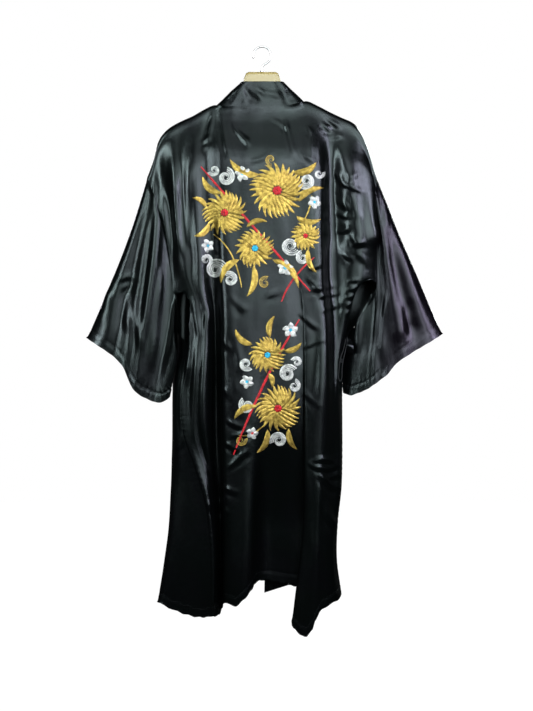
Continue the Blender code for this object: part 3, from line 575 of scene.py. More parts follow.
# Soft lights: place and size in metres, power before the studio's brightness, spread in degrees,
# and how far beside and above the middle of the robe each is aimed
Softbox = namedtuple("Softbox", "name x y z wide high power spread colour aim_x aim_z")
SOFTBOXES = table(
    Softbox,
    ("key_softbox", -1.7, -2.1, 0.35, 0.35, 1.9, 102, 75, "#f2fffa", 0.0, 0.20),
    ("fill_softbox", 1.9, -1.9, 0.4, 0.35, 1.8, 92, 75, "#f4f0ff", 0.0, 0.25),
    ("top_softbox", 0.1, -1.3, 1.0, 1.3, 0.9, 13, 100, "#f6fffb", 0.0, 0.45),
    ("front_softbox", 0.3, -3.2, 0.50, 1.7, 2.8, 72, 60, "#f0fbf6", 0.0, 0.25),
    ("strip_softbox", 0.2, -2.6, 0.55, 1.6, 0.12, 18, 90, "#f6fffc", 0.0, 0.0),
    ("behind_key_softbox", 1.7, 2.3, 0.5, 0.5, 1.6, 70, 75, "#f2fffa", 0.0, 0.2),
    ("behind_softbox", -0.6, 3.2, 0.3, 1.7, 1.6, 50, 60, "#f4f0ff", 0.0, 0.1),
    ("right_softbox", 1.3, -2.8, 0.2, 0.6, 2.0, 46, 60, "#f2f8f8", 0.0, 0.25),
)

# Soft unevenness of the cloth: its depth, its size across, and a number that shifts it
Ripple = namedtuple("Ripple", "depth size seed")
BACK_RIPPLES = (Ripple(1.6, 56.0, 0.0), Ripple(0.25, 22.0, 7.0))
FRONT_RIPPLES = (Ripple(1.4, 60.0, 3.0), Ripple(0.25, 24.0, 11.0))
SLEEVE_RIPPLES = (Ripple(1.2, 80.0, 5.0),)
BAND_RIPPLES = (Ripple(0.8, 30.0, 17.0),)

# Creases as they are seen from behind: where each runs from and to, how far it bows, how wide it
# is and how far it stands up, or sinks where that is negative
Crease = namedtuple("Crease", "name x z to_x to_z bow width depth")
BACK_CREASES = table(
    Crease,
    ("yoke_left", -108, -134, -130, -251, 0, 6, 1.8),
    ("yoke_left_crinkle", -142, -217, -112, -195, 2, 5, 1.1),
    ("neck_lens_upper", -68, -162, -22, -224, 7, 6, 1.6),
    ("neck_lens_lower", -62, -188, -26, -226, -6, 6, 1.2),
    ("neck_right_long", 50, -150, 77, -254, 2, 6, 1.3),
    ("neck_right_short", 97, -172, 117, -200, 0, 5, 1.2),
    ("fold_line_a", -92, -150, -70, -262, 3, 5, 0.9),
    ("fold_line_b", -40, -262, 34, -232, 4, 5, 0.9),
    ("fold_line_c", 20, -160, 66, -188, -2, 5, 0.9),
    ("fold_line_d", 84, -232, 130, -262, 3, 5, 1.0),
    ("fold_line_e", 92, -300, 128, -345, -3, 5, 1.0),
    ("fold_line_f", 78, -590, 140, -640, 4, 6, 1.1),
    ("fold_line_g", 88, -680, 146, -655, -3, 6, 1.0),
    ("fold_line_h", 92, -770, 138, -815, 3, 6, 1.1),
    ("fold_line_i", -98, -640, -60, -690, 3, 6, 1.0),
    ("fold_line_j", -96, -760, -66, -800, -3, 6, 1.1),
    ("scribble_a", 130, -165, 164, -194, 2, 5, 1.8),
    ("scribble_b", 142, -160, 182, -186, -2, 5, 1.8),
    ("scribble_c", 132, -192, 164, -171, 0, 5, 1.7),
    ("scribble_d", 146, -204, 184, -193, 2, 5, 1.6),
    ("left_streak_outer", -194, -240, -184, -548, 3, 8, 2.4),
    ("left_streak_middle", -170, -215, -171, -540, -3, 9, 2.6),
    ("left_streak_inner", -149, -260, -134, -575, 3, 9, 1.8),
    ("left_dark_run", -212, -220, -206, -470, 0, 8, -2.2),
    ("right_trough", 152, -215, 153, -665, 0, 13, -4.0),
    ("right_lobe_shine", 196, -245, 224, -510, -4, 13, 3.0),
    ("lobe_crumple_a", 162, -272, 200, -322, 3, 7, 1.7),
    ("lobe_crumple_b", 167, -340, 204, -376, -3, 7, 1.6),
    ("lobe_crumple_c", 164, -417, 204, -399, 3, 7, 1.6),
    ("lobe_crumple_d", 173, -457, 213, -484, 0, 7, 1.7),
    ("lobe_crumple_e", 186, -300, 227, -279, 0, 6, 1.4),
    ("lobe_crumple_f", 197, -448, 236, -432, 2, 6, 1.5),
    ("lobe_line_a", 164, -298, 236, -327, 2, 5, 1.4),
    ("lobe_line_b", 193, -271, 205, -327, 2, 6, 1.2),
    ("lobe_line_c", 196, -327, 217, -395, -3, 6, 1.6),
    ("lobe_line_d", 160, -370, 205, -383, 2, 5, 1.3),
    ("lobe_line_e", 191, -404, 227, -455, 3, 6, 1.6),
    ("lobe_line_f", 205, -455, 242, -500, -3, 6, 1.5),
    ("underarm_ray_a", 99, -502, 146, -477, 2, 7, 1.6),
    ("underarm_ray_b", 95, -513, 155, -579, -3, 7, 1.6),
    ("underarm_ray_c", 84, -546, 182, -529, 4, 7, 1.6),
    ("underarm_ray_d", 110, -569, 189, -549, -3, 6, 1.5),
    ("underarm_ray_e", 124, -597, 191, -567, 2, 6, 1.4),
    ("slit_rib_a", 193, -529, 216, -520, 0, 5, 1.5),
    ("slit_rib_b", 190, -547, 213, -540, 0, 5, 1.6),
    ("slit_rib_c", 188, -564, 209, -559, 0, 5, 1.5),
    ("slit_rib_d", 186, -582, 206, -578, 0, 5, 1.4),
    ("slit_rib_e", 186, -600, 203, -597, 0, 5, 1.2),
    ("left_vee_outer", -155, -560, -133, -672, 3, 7, 1.6),
    ("left_vee_inner", -115, -566, -134, -660, -2, 7, 1.5),
    ("left_green_stripe", -162, -590, -178, -775, -3, 10, 5.0),
    ("left_purple_band", -135, -560, -141, -965, 4, 15, 3.5),
    ("black_trough", -103, -560, -102, -1268, 2, 11, -4.5),
    ("waist_left", -74, -557, -26, -597, 3, 8, 1.1),
    ("waist_right", -2, -569, 54, -543, -3, 8, 1.0),
    ("middle_run", -60, -630, -36, -755, 5, 10, 1.3),
    ("crumple_a", -84, -836, -34, -857, 3, 6, 1.9),
    ("crumple_b", -74, -876, -20, -859, 3, 6, 1.9),
    ("crumple_c", -88, -890, -48, -911, -2, 6, 1.7),
    ("crumple_long", -81, -950, -32, -900, 3, 6, 2.4),
    ("crumple_low_a", -96, -985, -46, -1004, 2, 6, 1.5),
    ("crumple_low_b", -106, -1012, -74, -1056, 0, 6, 1.5),
    ("side_nick", -175, -983, -144, -979, 2, 6, 2.2),
    ("side_low_a", -179, -1026, -141, -1110, 4, 9, 2.2),
    ("side_low_b", -149, -1065, -107, -1016, 0, 8, 2.0),
    ("recess", 16, -880, 18, -1420, 0, 30, -7.0),
    ("right_panel_shine", 148, -556, 144, -925, 5, 17, 3.4),
    ("eyelid_upper", 101, -936, 178, -938, 10, 6, 3.0),
    ("eyelid_lower", 103, -938, 176, -939, -11, 6, 2.6),
    ("below_eyelid_a", 125, -955, 177, -997, 3, 7, 2.6),
    ("below_eyelid_b", 142, -970, 179, -958, 0, 6, 2.3),
    ("knee_curve", 141, -1014, 176, -1090, 8, 8, 2.4),
    ("shin_right", 112, -1060, 122, -1260, -3, 13, 0.9),
    ("panel_foot", -60, -1020, -52, -1240, 4, 16, 0.3),
)
FRONT_LEFT_CREASES = table(
    Crease,
    ("seam_green", -193, -912, -172, -852, 3, 7, 1.8),
    ("outer_run_a", -203, -945, -188, -1160, 4, 10, 0.5),
    ("outer_run_b", -217, -1010, -208, -1235, 2, 10, 0.4),
    ("upper_run", -190, -620, -197, -830, -3, 8, 1.6),
)
FRONT_RIGHT_CREASES = table(
    Crease,
    ("upper_fold", 150, -560, 140, -900, 4, 10, 1.6),
    ("lower_fold", 120, -860, 128, -1180, -4, 12, 1.6),
)
LEFT_SLEEVE_CREASES = table(
    Crease,
    ("long_ridge", -229, -215, -275, -735, -10, 13, 4.6),
    ("inner_ridge", -226, -470, -254, -745, -4, 10, 3.2),
    ("outer_hollow", -262, -330, -338, -660, -6, 22, -3.6),
    ("elbow_crinkle", -343, -528, -280, -505, 3, 6, 2.0),
    ("elbow_crinkle_low", -322, -548, -284, -512, 2, 6, 1.7),
    ("outer_crinkle", -340, -535, -372, -630, -3, 8, 2.2),
    ("middle_crinkle", -300, -540, -303, -650, 3, 8, 2.2),
    ("cuff_ridge", -286, -560, -268, -700, 3, 8, 1.8),
    ("inner_edge", -196, -560, -203, -690, 2, 6, 1.6),
)
RIGHT_SLEEVE_CREASES = table(
    Crease,
    ("head_line", 243, -300, 262, -480, 3, 8, 2.2),
    ("middle_line", 275, -345, 290, -480, 3, 9, 2.4),
    ("bright_line", 283, -545, 268, -715, 3, 8, 2.6),
    ("dark_leaf", 328, -560, 348, -665, 4, 14, -3.2),
    ("outer_fold", 305, -400, 372, -640, 6, 18, 3.0),
    ("inner_hollow", 250, -520, 238, -700, -3, 16, -3.2),
    ("cuff_crinkle", 262, -746, 295, -727, 2, 6, 1.2),
)
BAND_CREASES = table(
    Crease,
    ("fan_a", -44, -84, -2, -130, 3, 6, 1.4),
    ("fan_b", -42, -92, -24, -131, -2, 6, 1.3),
    ("fan_c", -36, -84, 62, -112, 4, 7, 1.1),
    ("fan_left", -56, -98, -83, -128, 0, 7, 1.3),
    ("fan_middle", -14, -84, 30, -129, 3, 6, 1.0),
    ("fan_right", 50, -86, 73, -128, 0, 7, 1.1),
)


def eased(rows, at):
    """Smooth value between (key, value) rows, with no overshoot: a monotone cubic."""
    keys = [row[0] for row in rows]
    values = [row[1] for row in rows]
    if keys[0] > keys[-1]:
        keys.reverse()
        values.reverse()
    if at <= keys[0]:
        return values[0]
    if at >= keys[-1]:
        return values[-1]
    steps = [keys[i + 1] - keys[i] for i in range(len(keys) - 1)]
    slopes = [(values[i + 1] - values[i]) / steps[i] for i in range(len(steps))]
    tangents = [slopes[0]]
    for i in range(1, len(slopes)):
        before, after = slopes[i - 1], slopes[i]
        if before * after <= 0:
            tangents.append(0.0)
        else:
            near = 2 * steps[i] + steps[i - 1]
            far = steps[i] + 2 * steps[i - 1]
            tangents.append((near + far) / (near / before + far / after))
    tangents.append(slopes[-1])
    i = max(k for k in range(len(steps)) if keys[k] <= at)
    t = (at - keys[i]) / steps[i]
    rise = values[i + 1] - values[i]
    start = tangents[i] * steps[i]
    end = tangents[i + 1] * steps[i]
    curve = (3 * rise - 2 * start - end) * t * t
    return values[i] + start * t + curve + (start + end - 2 * rise) * t**3


def smooth_step(t):
    t = np.clip(t, 0.0, 1.0)
    return t * t * (3 - 2 * t)


def span(step):
    return np.maximum(np.linalg.norm(step, axis=-1, keepdims=True), 1e-6)


def through(points, counts, closed=False):
    """Smooth curves through points or rows of points, counts[i] steps from one to the next."""
    points = [np.array(point, float) for point in points]
    last = len(points) - 1
    found = []
    for i in range(len(points) if closed else last):
        a = points[i]
        b = points[(i + 1) % len(points)]
        before = points[i - 1] if i > 0 or closed else 2 * a - b
        after = points[(i + 2) % len(points)] if i + 2 <= last or closed else 2 * b - a
        gap, into, out = span(b - a), span(a - before), span(after - b)
        start = gap * ((a - before) / into * gap + (b - a) / gap * into) / (gap + into)
        end = gap * ((b - a) / gap * out + (after - b) / out * gap) / (gap + out)
        for t in np.arange(counts[i]) / counts[i]:
            found.append(
                a * (2 * t**3 - 3 * t**2 + 1)
                + start * (t**3 - 2 * t**2 + t)
                + b * (3 * t**2 - 2 * t**3)
                + end * (t**3 - t**2)
            )
    if not closed:
        found.append(points[-1])
    return found


def shoulder_height(x):
    return eased([(spot.x, spot.z) for spot in SHOULDER_LINE], x)


def neck_place(x):
    depth = eased([(spot.x, spot.y) for spot in NECK_SEAM], x)
    height = eased([(spot.x, spot.z) for spot in NECK_SEAM], x)
    return depth, height


def on_neck(x):
    return NECK_SEAM[0].x < x < NECK_SEAM[-1].x


def row_height(start_z, foot_z, fraction):
    """Height of a cut row on one line. Rows fan out of the shoulder line and soon run level."""
    level = ROW_LEVEL_START + (foot_z - ROW_LEVEL_START) * fraction
    return level + (start_z - ROW_LEVEL_START) * (1 - smooth_step(fraction / ROW_FAN))


def fold_across(fold, z, top_z):
    """A fold line's sideways place, or its distance inside the edge that it runs beside."""
    rows = [
        (CHEST, fold.chest),
        (ARMPIT, fold.armpit),
        (SLIT, fold.slit),
        (HIP, fold.hip),
        (KNEE, fold.knee),
        (fold.hem_z, fold.hem),
    ]
    if fold.beside is None:
        rows.insert(0, (top_z, fold.top))
    return eased([row for row in rows if row[1] is not None], z)


def fold_out(fold, z):
    rows = (
        (CHEST, fold.out_chest),
        (ARMPIT, fold.out_armpit),
        (SLIT, fold.out_slit),
        (HIP, fold.out_hip),
        (KNEE, fold.out_knee),
    )
    return eased(rows, z)


def lift_beside(edge, row, place, nearness):
    """How far the cloth is drawn up by an edge, nearness lines away from it."""
    if row < 0 or nearness >= len(PULL_WEIGHTS):
        return 0.0
    at = row_height(edge[0].row - RIDGE_RADIUS, edge[-1].row, CUT_ROWS[row])
    pull = eased([(spot.row, spot.pull) for spot in edge], at)
    if nearness == 0:
        return (pull + place[2] - at) / 2
    return PULL_WEIGHTS[nearness] * pull


def ridge_top(x):
    """Where a fold line starts: its distance out of the hanger's plane and its height."""
    if on_neck(x):
        out, top_z = neck_place(x)
        return out, top_z - SEAM_GAP / 2
    return RIDGE_RADIUS, shoulder_height(x)


def fold_point(fold, row, side, lift, edges):
    """Where a fold line lies on a cut row. Negative rows are the roll over the shoulder ridge."""
    start_out, top_z = ridge_top(fold.top)
    if row < 0:
        angle = math.radians(RIDGE_ANGLES[row])
        z = top_z - RIDGE_RADIUS * (1 - math.cos(angle))
        out = start_out if on_neck(fold.top) else RIDGE_RADIUS * math.sin(angle)
        return fold.top, side * out, z
    start_z = top_z - RIDGE_RADIUS
    z = row_height(start_z, fold.hem_z, CUT_ROWS[row])
    x = fold_across(fold, z, top_z)
    out = fold_out(fold, z)
    if fold.beside:
        edge_x, edge_y, _ = edges[fold.beside]
        inward = -math.copysign(1.0, fold.top)
        settled = smooth_step(CUT_ROWS[row] / BESIDE_SETTLE)
        x = fold.top + (edge_x + inward * x - fold.top) * settled
        out += side * edge_y
    out = start_out + (out - start_out) * smooth_step((start_z - z) / RIDGE_SETTLE)
    return x, side * out, z + lift


def edge_point(edge, row, side):
    """The place of a panel's edge on a cut row."""
    top = edge[0]
    if row < 0:
        angle = math.radians(RIDGE_ANGLES[row])
        z = top.row - RIDGE_RADIUS * (1 - math.cos(angle))
        x = eased([(spot.row, spot.x) for spot in edge], z)
        return x, side * max(RIDGE_RADIUS * math.sin(angle), abs(top.y)), z
    at = row_height(top.row - RIDGE_RADIUS, edge[-1].row, CUT_ROWS[row])
    x = eased([(spot.row, spot.x) for spot in edge], at)
    y = eased([(spot.row, spot.y) for spot in edge], at)
    if row == 0:
        y = side * max(side * y, RIDGE_RADIUS)
    z = eased([(spot.row, spot.z) for spot in edge], at)
    return x, y, z


def mirrored_depth(edge):
    return tuple(spot._replace(y=-spot.y) for spot in edge)


def drawn_back(points, gap):
    """Draws the first and last points of a row back from their seams."""
    for end, beside in ((0, 1), (-1, -2)):
        step = points[beside] - points[end]
        step[2] = 0.0
        points[end] = points[end] + step * (gap / max(np.linalg.norm(step), 1e-6))
    return points


def settle(rows):
    """Evens out the cloth drawn up beside the slits, keeping its edges where they are."""
    for _ in range(SETTLE_ROUNDS):
        before = [list(row) for row in rows]
        for r in range(1, len(rows) - 1):
            across = len(rows[r])
            for c in range(1, across - 1):
                reach = 1 - (min(c, across - 1 - c) - 1) / SETTLE_COLUMNS
                if reach <= 0 or not SETTLE_FOOT < before[r][c][2] < SETTLE_TOP:
                    continue
                near = before[r][c - 1] + before[r][c + 1] + before[r - 1][c] + before[r + 1][c]
                rows[r][c] = before[r][c] + (near / 4 - before[r][c]) * (SETTLE_STRENGTH * reach)


def panel(folds, first_edge, last_edge, side, counts):
    """Rows of points of a panel, from its ridge to its hem, across from one edge to the other."""
    rows = []
    keep = RIDGE_RADIUS * math.sin(math.radians(RIDGE_ANGLES[0]))
    for row in [*range(-len(RIDGE_ANGLES), 0), *range(len(CUT_ROWS))]:
        edges = {FIRST: edge_point(first_edge, row, side), LAST: edge_point(last_edge, row, side)}
        line = [edges[FIRST]]
        for i, fold in enumerate(folds):
            lift = lift_beside(first_edge, row, edges[FIRST], i)
            lift += lift_beside(last_edge, row, edges[LAST], len(folds) - 1 - i)
            line.append(fold_point(fold, row, side, lift, edges))
        line.append(edges[LAST])
        points = drawn_back(through(line, counts), EDGE_INSET)
        if row < 0:
            for point in points:
                point[1] = side * max(side * point[1], keep)
        rows.append(points)
    settle(rows)
    return rows


def armhole_place(armhole, side, z):
    x = eased([(spot.z, spot.x) for spot in armhole], z)
    y = eased([(spot.z, spot.y) for spot in armhole], z)
    return x, side * max(y, 0.0), z


def sleeve_rows(lines, armhole, sag, tuck_in):
    """Rings of points from armhole to cuff, each drawn through the sleeve's fold lines."""
    away = math.copysign(SLEEVE_GAP, armhole[0].x)
    rows = []
    for k in range(SLEEVE_ROWS + 1):
        t = k / SLEEVE_ROWS
        ring = []
        for line in lines:
            start = (line.x, line.y, line.z)
            if line.x is ON_ARMHOLE:
                start = armhole_place(armhole, line.y, line.z)
            x = start[0] + (line.cuff_x - start[0]) * t
            y = start[1] + (line.cuff_y - start[1]) * t
            z = start[2] + (line.cuff_z - start[2]) * t
            y += math.copysign(1.0, line.cuff_y) * line.out_middle * math.sin(math.pi * t)
            ring.append((x, y, z))
        x, y, z = ring[0]
        ring[0] = (x - math.copysign(sag, away) * math.sin(math.pi * t), y, z)
        points = through(ring, [2] * len(lines), closed=True)
        if k == 0:
            for i, line in enumerate(lines):
                following = lines[(i + 1) % len(lines)]
                if line.x is ON_ARMHOLE and following.x is ON_ARMHOLE:
                    between = points[2 * i + 1][2]
                    points[2 * i + 1] = np.array(armhole_place(armhole, line.y, between))
            tucks = [tuck_in * smooth_step((TUCK_TOP - point[2]) / TUCK_LENGTH) for point in points]
        for point, tuck in zip(points, tucks):
            point[0] += away * (1 - t) ** 2
            point[1] -= math.copysign(tuck * (1 - t) ** 2, point[1])
        rows.append(points)
    return rows


def band_rows():
    """The long band: from the left hem up, round the neck and down to the right hem."""
    gap = BAND_GAP
    centre = NECK_SEAM[len(NECK_SEAM) // 2]

    def seam_run(side_rows, neck_rows):
        tucked = (BAND_TUCK_X, -BAND_TUCK_Y)
        places = [(s.x * tucked[0], s.y * tucked[1], s.z - BAND_TUCK) for s in neck_rows]
        return places + [(s.x + (gap if s.x < 0 else -gap), s.y, s.z) for s in side_rows[1:]]

    middle = NECK_SEAM.index(centre)
    left_seam = seam_run(LEFT_BAND_SEAM, list(reversed(NECK_SEAM[: middle + 1])))
    right_seam = seam_run(RIGHT_BAND_SEAM, list(NECK_SEAM[middle:]))
    left_free = [(spot.x, spot.y, spot.z) for spot in LEFT_BAND_FREE]
    right_free = [(spot.x, spot.y, spot.z) for spot in RIGHT_BAND_FREE]

    def half(seam, free):
        outer = through(seam, BAND_COUNTS)
        inner = through(free, BAND_COUNTS)
        return [through([a, (a + b) / 2, b], (1, 1)) for a, b in zip(outer, inner)]

    left = half(left_seam, left_free)
    right = half(right_seam, right_free)
    return list(reversed(left)) + right[1:]


# Grids of cloth, finer than the solids


def finer(rows, row_step, column_step, closed=False):
    """The same surface on a finer grid, its rows and columns about these steps apart."""
    grid = np.array(rows)
    apart = np.linalg.norm(np.diff(grid, axis=0), axis=2).mean(axis=1)
    grid = np.array(through(grid, np.ceil(apart / row_step).astype(int)))
    across = list(grid.transpose(1, 0, 2))
    ends = across[1:] + across[:1] if closed else across[1:]
    apart = [np.linalg.norm(b - a, axis=1).mean() for a, b in zip(across, ends)]
    counts = np.ceil(np.array(apart) / column_step).astype(int)
    return np.array(through(across, counts, closed)).transpose(1, 0, 2)


def padded_round(grid, closed):
    """The grid with one more column on each side, taken round the tube where it is closed."""
    if closed:
        return np.concatenate([grid[:, -1:], grid, grid[:, :1]], axis=1)
    first = 2 * grid[:, :1] - grid[:, 1:2]
    last = 2 * grid[:, -1:] - grid[:, -2:-1]
    return np.concatenate([first, grid, last], axis=1)


def outward_normals(grid, outward, closed=False):
    around = padded_round(grid, closed)
    across = around[:, 2:] - around[:, :-2]
    down = np.gradient(grid, axis=0)
    normals = np.cross(across, down) * outward
    return normals / span(normals)


def softened(grid, rounds, closed=False):
    """Evens out the inside of a grid, leaving its edges where they are."""
    grid = grid.copy()
    for _ in range(rounds):
        around = padded_round(grid, closed)
        mean = (around[1:-1, 2:] + around[1:-1, :-2] + grid[2:] + grid[:-2]) / 4
        if closed:
            grid[1:-1] = mean
        else:
            grid[1:-1, 1:-1] = mean[:, 1:-1]
    return grid


def as_seen(grid):
    """Where each point appears across and up, from the camera's place behind the robe."""
    nearer = CAMERA_DISTANCE / (CAMERA_DISTANCE + grid[..., 1])
    x = CAMERA_X + (grid[..., 0] - CAMERA_X) * nearer
    z = CAMERA_Z + (grid[..., 2] - CAMERA_Z) * nearer
    return x, z


def crease_lift(crease, x, z):
    """How far one crease lifts the cloth: a soft ridge with a dip beside it, faded at both ends."""
    run_x, run_z = crease.to_x - crease.x, crease.to_z - crease.z
    length = math.hypot(run_x, run_z)
    along = ((x - crease.x) * run_x + (z - crease.z) * run_z) / length**2
    offset = ((x - crease.x) * run_z - (z - crease.z) * run_x) / length
    offset = offset - crease.bow * 4 * along * (1 - along)
    wide = crease.width * (CREASE_GROWTH[0] + CREASE_GROWTH[1] * smooth_step(along))
    across = offset / wide
    uneven = 1 + CREASE_UNEVEN * np.sin(CREASE_BEATS * along + crease.x)
    fade = smooth_step(along / CREASE_FADE) * smooth_step((1 - along) / CREASE_FADE)
    dip = CREASE_DIP * np.exp(-((across - CREASE_DIP_BESIDE) ** 2))
    return crease.depth * uneven * fade * (np.exp(-(across**2)) - dip)


def clear_of_seams(grid, top=False, first=False, last=False, slit=None):
    """0 on the sewn edges named, 1 a little way into the cloth and between slit's heights."""
    across = run_across(grid)
    down = run_down(grid)
    off = np.full(grid.shape[:2], 10 * SEAM_HOLD)
    if top:
        off = np.minimum(off, down[0] - down)
    if first:
        off = np.minimum(off, across)
    if last:
        off = np.minimum(off, across[:, -1:] - across)
    free = smooth_step(off / SEAM_HOLD)
    if slit:
        height = grid[..., 2]
        opened = smooth_step((slit[0] - height) / SEAM_HOLD)
        opened = opened * smooth_step((height - slit[1]) / SEAM_HOLD)
        free = np.maximum(free, opened)
    return free


def ripple(place, size, seed):
    """Soft uneven noise between -1 and 1, this size across and longer down the cloth."""
    down = place[2] / size / RIPPLE_STRETCH + seed
    return noise.noise(Vector((place[0] / size, place[1] / size, down)))


def creased(grid, outward, creases, ripples, free, closed=False, facing=0, strength=1.0):
    """Presses creases and soft ripples into cloth where it is free of its seams.

    facing, 1 or -1 along Y, picks the face of a tube that takes the creases.
    """
    normals = outward_normals(grid, outward, closed)
    x, z = as_seen(grid)
    lift = np.zeros(grid.shape[:2])
    for crease in creases:
        lift += crease_lift(crease, x, z)
    if facing:
        lift *= smooth_step(0.5 + 1.5 * facing * normals[..., 1])
    for ripple_depth, size, seed in ripples:
        waves = [ripple(place, size, seed) for place in grid.reshape(-1, 3)]
        lift += ripple_depth * np.array(waves).reshape(lift.shape)
    return grid + normals * (lift * free * strength)[..., None]


def run_down(grid):
    """Distance of each point from the grid's last row, along the cloth."""
    steps = np.linalg.norm(np.diff(grid, axis=0), axis=2)
    total = np.cumsum(steps[::-1], axis=0)[::-1]
    return np.concatenate([total, np.zeros((1, grid.shape[1]))], axis=0)


def run_across(grid):
    """Distance of each point from the grid's first column, along the cloth."""
    steps = np.linalg.norm(np.diff(grid, axis=1), axis=2)
    return np.concatenate([np.zeros((grid.shape[0], 1)), np.cumsum(steps, axis=1)], axis=1)


def hemmed(grid, outward, hem, free, closed=False, scallop=SCALLOP_DEPTH):
    """Turns up a hem at the last row: a strip, a sewn groove, small puckers and a wavy edge."""
    normals = outward_normals(grid, outward, closed)
    off = run_down(grid)
    along = run_across(grid)
    strip = HEM_RISE * (1 - smooth_step((off - hem) / HEM_STEP))
    groove = -STITCH_SINK * np.exp(-(((off - hem) / STITCH_SPREAD) ** 2))
    near = np.exp(-(((off - hem) / PUCKER_REACH) ** 2))
    drift = np.sin(along / PUCKER_DRIFT)
    swing = np.sin(along / PUCKER_LENGTH * 2 * math.pi + HEM_DRIFT * drift)
    swing = swing * (0.6 + 0.4 * np.sin(along / PUCKER_DRIFT + 1.0))
    waves = along / SCALLOP_LENGTH * 2 * math.pi + SCALLOP_DRIFT * drift
    hung = np.exp(-off / SCALLOP_REACH) * np.sin(waves)
    grid = grid + normals * ((strip + groove + PUCKER_DEPTH * near * swing) * free)[..., None]
    grid[..., 2] += scallop * hung * free
    return grid


def seamed(grid, outward, columns):
    """Sinks the cloth's edge into its seam, with small puckers, at these columns of the grid."""
    normals = outward_normals(grid, outward)
    across = run_across(grid)
    down = run_down(grid)
    drift = np.sin(down / PUCKER_DRIFT)
    for column in columns:
        off = np.abs(across - across[:, column][:, None])
        swing = np.sin(down / PUCKER_LENGTH * 2 * math.pi + SEAM_DRIFT * drift)
        swing = swing * (0.5 + 0.5 * np.sin(down / PUCKER_DRIFT * 1.7))
        lift = SEAM_RISE * np.exp(-(((off - SEAM_TURN) / SEAM_TURN) ** 2))
        puckers = SEAM_PUCKER * np.exp(-((off / PUCKER_REACH) ** 2)) * swing
        lift += puckers * smooth_step(off / SEAM_TURN)
        grid = grid + normals * lift[..., None]
    return grid


def shell(name, grid, wall, material, closed=False):
    """A closed thin shell on a grid of points, with a UV map in metres of cloth."""
    if closed:
        grid = np.concatenate([grid, grid[:, :1]], axis=1)
    rows, columns = grid.shape[:2]
    bm = bmesh.new()
    bmesh.ops.create_grid(bm, x_segments=columns - 1, y_segments=rows - 1, size=1.0)
    bm.verts.ensure_lookup_table()
    for vert, place in zip(bm.verts, grid.reshape(-1, 3) * MM):
        vert.co = place
    threads = bm.loops.layers.uv.new("cut")
    across = run_across(grid).mean(axis=0) * MM
    down = run_down(grid).mean(axis=1) * MM
    for face in bm.faces:
        for loop in face.loops:
            row, column = divmod(loop.vert.index, columns)
            loop[threads].uv = (across[column], down[row])
    if closed:
        seam = [vert for vert in bm.verts if vert.index % columns in (0, columns - 1)]
        bmesh.ops.remove_doubles(bm, verts=seam, dist=MM / 100)
    return thickened(name, bm, wall, material)


def thickened(name, bm, wall, material):
    """Gives an open sheet its wall, and makes it a piece of the robe."""
    mesh = bpy.data.meshes.new(name)
    bm.to_mesh(mesh)
    bm.free()
    sheet = bpy.data.objects.new(name, mesh)
    bpy.context.scene.collection.objects.link(sheet)
    skin = sheet.modifiers.new("wall", "SOLIDIFY")
    skin.thickness = wall * MM
    skin.offset = 0.0
    skin.use_rim = True
    evaluated = sheet.evaluated_get(bpy.context.evaluated_depsgraph_get())
    solid = bpy.data.meshes.new_from_object(evaluated)
    bpy.data.objects.remove(sheet)
    bpy.data.meshes.remove(mesh)
    return piece(name, solid, material)


def tube(name, places, radii, material, closed=False):
    """A round wire or thread through these places, this thick at each of them."""
    curve = bpy.data.curves.new(name, "CURVE")
    curve.dimensions = "3D"
    curve.bevel_depth = MM
    curve.bevel_resolution = TUBE_ROUNDING
    curve.use_fill_caps = not closed
    spline = curve.splines.new("POLY")
    spline.points.add(len(places) - 1)
    spline.use_cyclic_u = closed
    for spot, place, radius in zip(spline.points, places, radii):
        spot.co = (*(coordinate * MM for coordinate in place), 1.0)
        spot.radius = radius
    swept = bpy.data.objects.new(name, curve)
    bpy.context.scene.collection.objects.link(swept)
    evaluated = swept.evaluated_get(bpy.context.evaluated_depsgraph_get())
    mesh = bpy.data.meshes.new_from_object(evaluated)
    bpy.data.objects.remove(swept)
    bm = bmesh.new()
    bm.from_mesh(mesh)
    bmesh.ops.remove_doubles(bm, verts=bm.verts[:], dist=MM / 100)
    bmesh.ops.recalc_face_normals(bm, faces=bm.faces[:])
    bm.to_mesh(mesh)
    bm.free()
    return piece(name, mesh, material)


def stitches(bm, grid, outward, hem, wall, closed=False):
    """A row of small stitches along the top of a hem."""
    normals = outward_normals(grid, outward, closed)
    off = run_down(grid)
    line = []
    for column in range(grid.shape[1]):
        row = int(np.argmin(np.abs(off[:, column] - hem)))
        line.append((grid[row, column], normals[row, column]))
    apart = [0.0]
    for (one, _), (other, _) in zip(line, line[1:]):
        apart.append(apart[-1] + np.linalg.norm(other - one))
    for along in np.arange(STITCH_PITCH, apart[-1] - STITCH_PITCH, STITCH_PITCH):
        i = int(np.searchsorted(apart, along)) - 1
        (one, normal), (other, _) = line[i], line[i + 1]
        share = (along - apart[i]) / (apart[i + 1] - apart[i])
        place = one + (other - one) * share + normal * (wall / 2)
        run = Vector(other - one).normalized()
        up = Vector(normal).normalized()
        side = up.cross(run).normalized()
        axes = Matrix((run * STITCH_LENGTH / 2, side * STITCH_WIDE, up * STITCH_WIDE))
        shape = Matrix.Scale(MM, 4) @ axes.transposed().to_4x4()
        sewn = bmesh.ops.create_icosphere(bm, subdivisions=1, radius=1.0)["verts"]
        laid = Matrix.Translation(Vector(place) * MM) @ shape
        bmesh.ops.transform(bm, matrix=laid, verts=sewn)


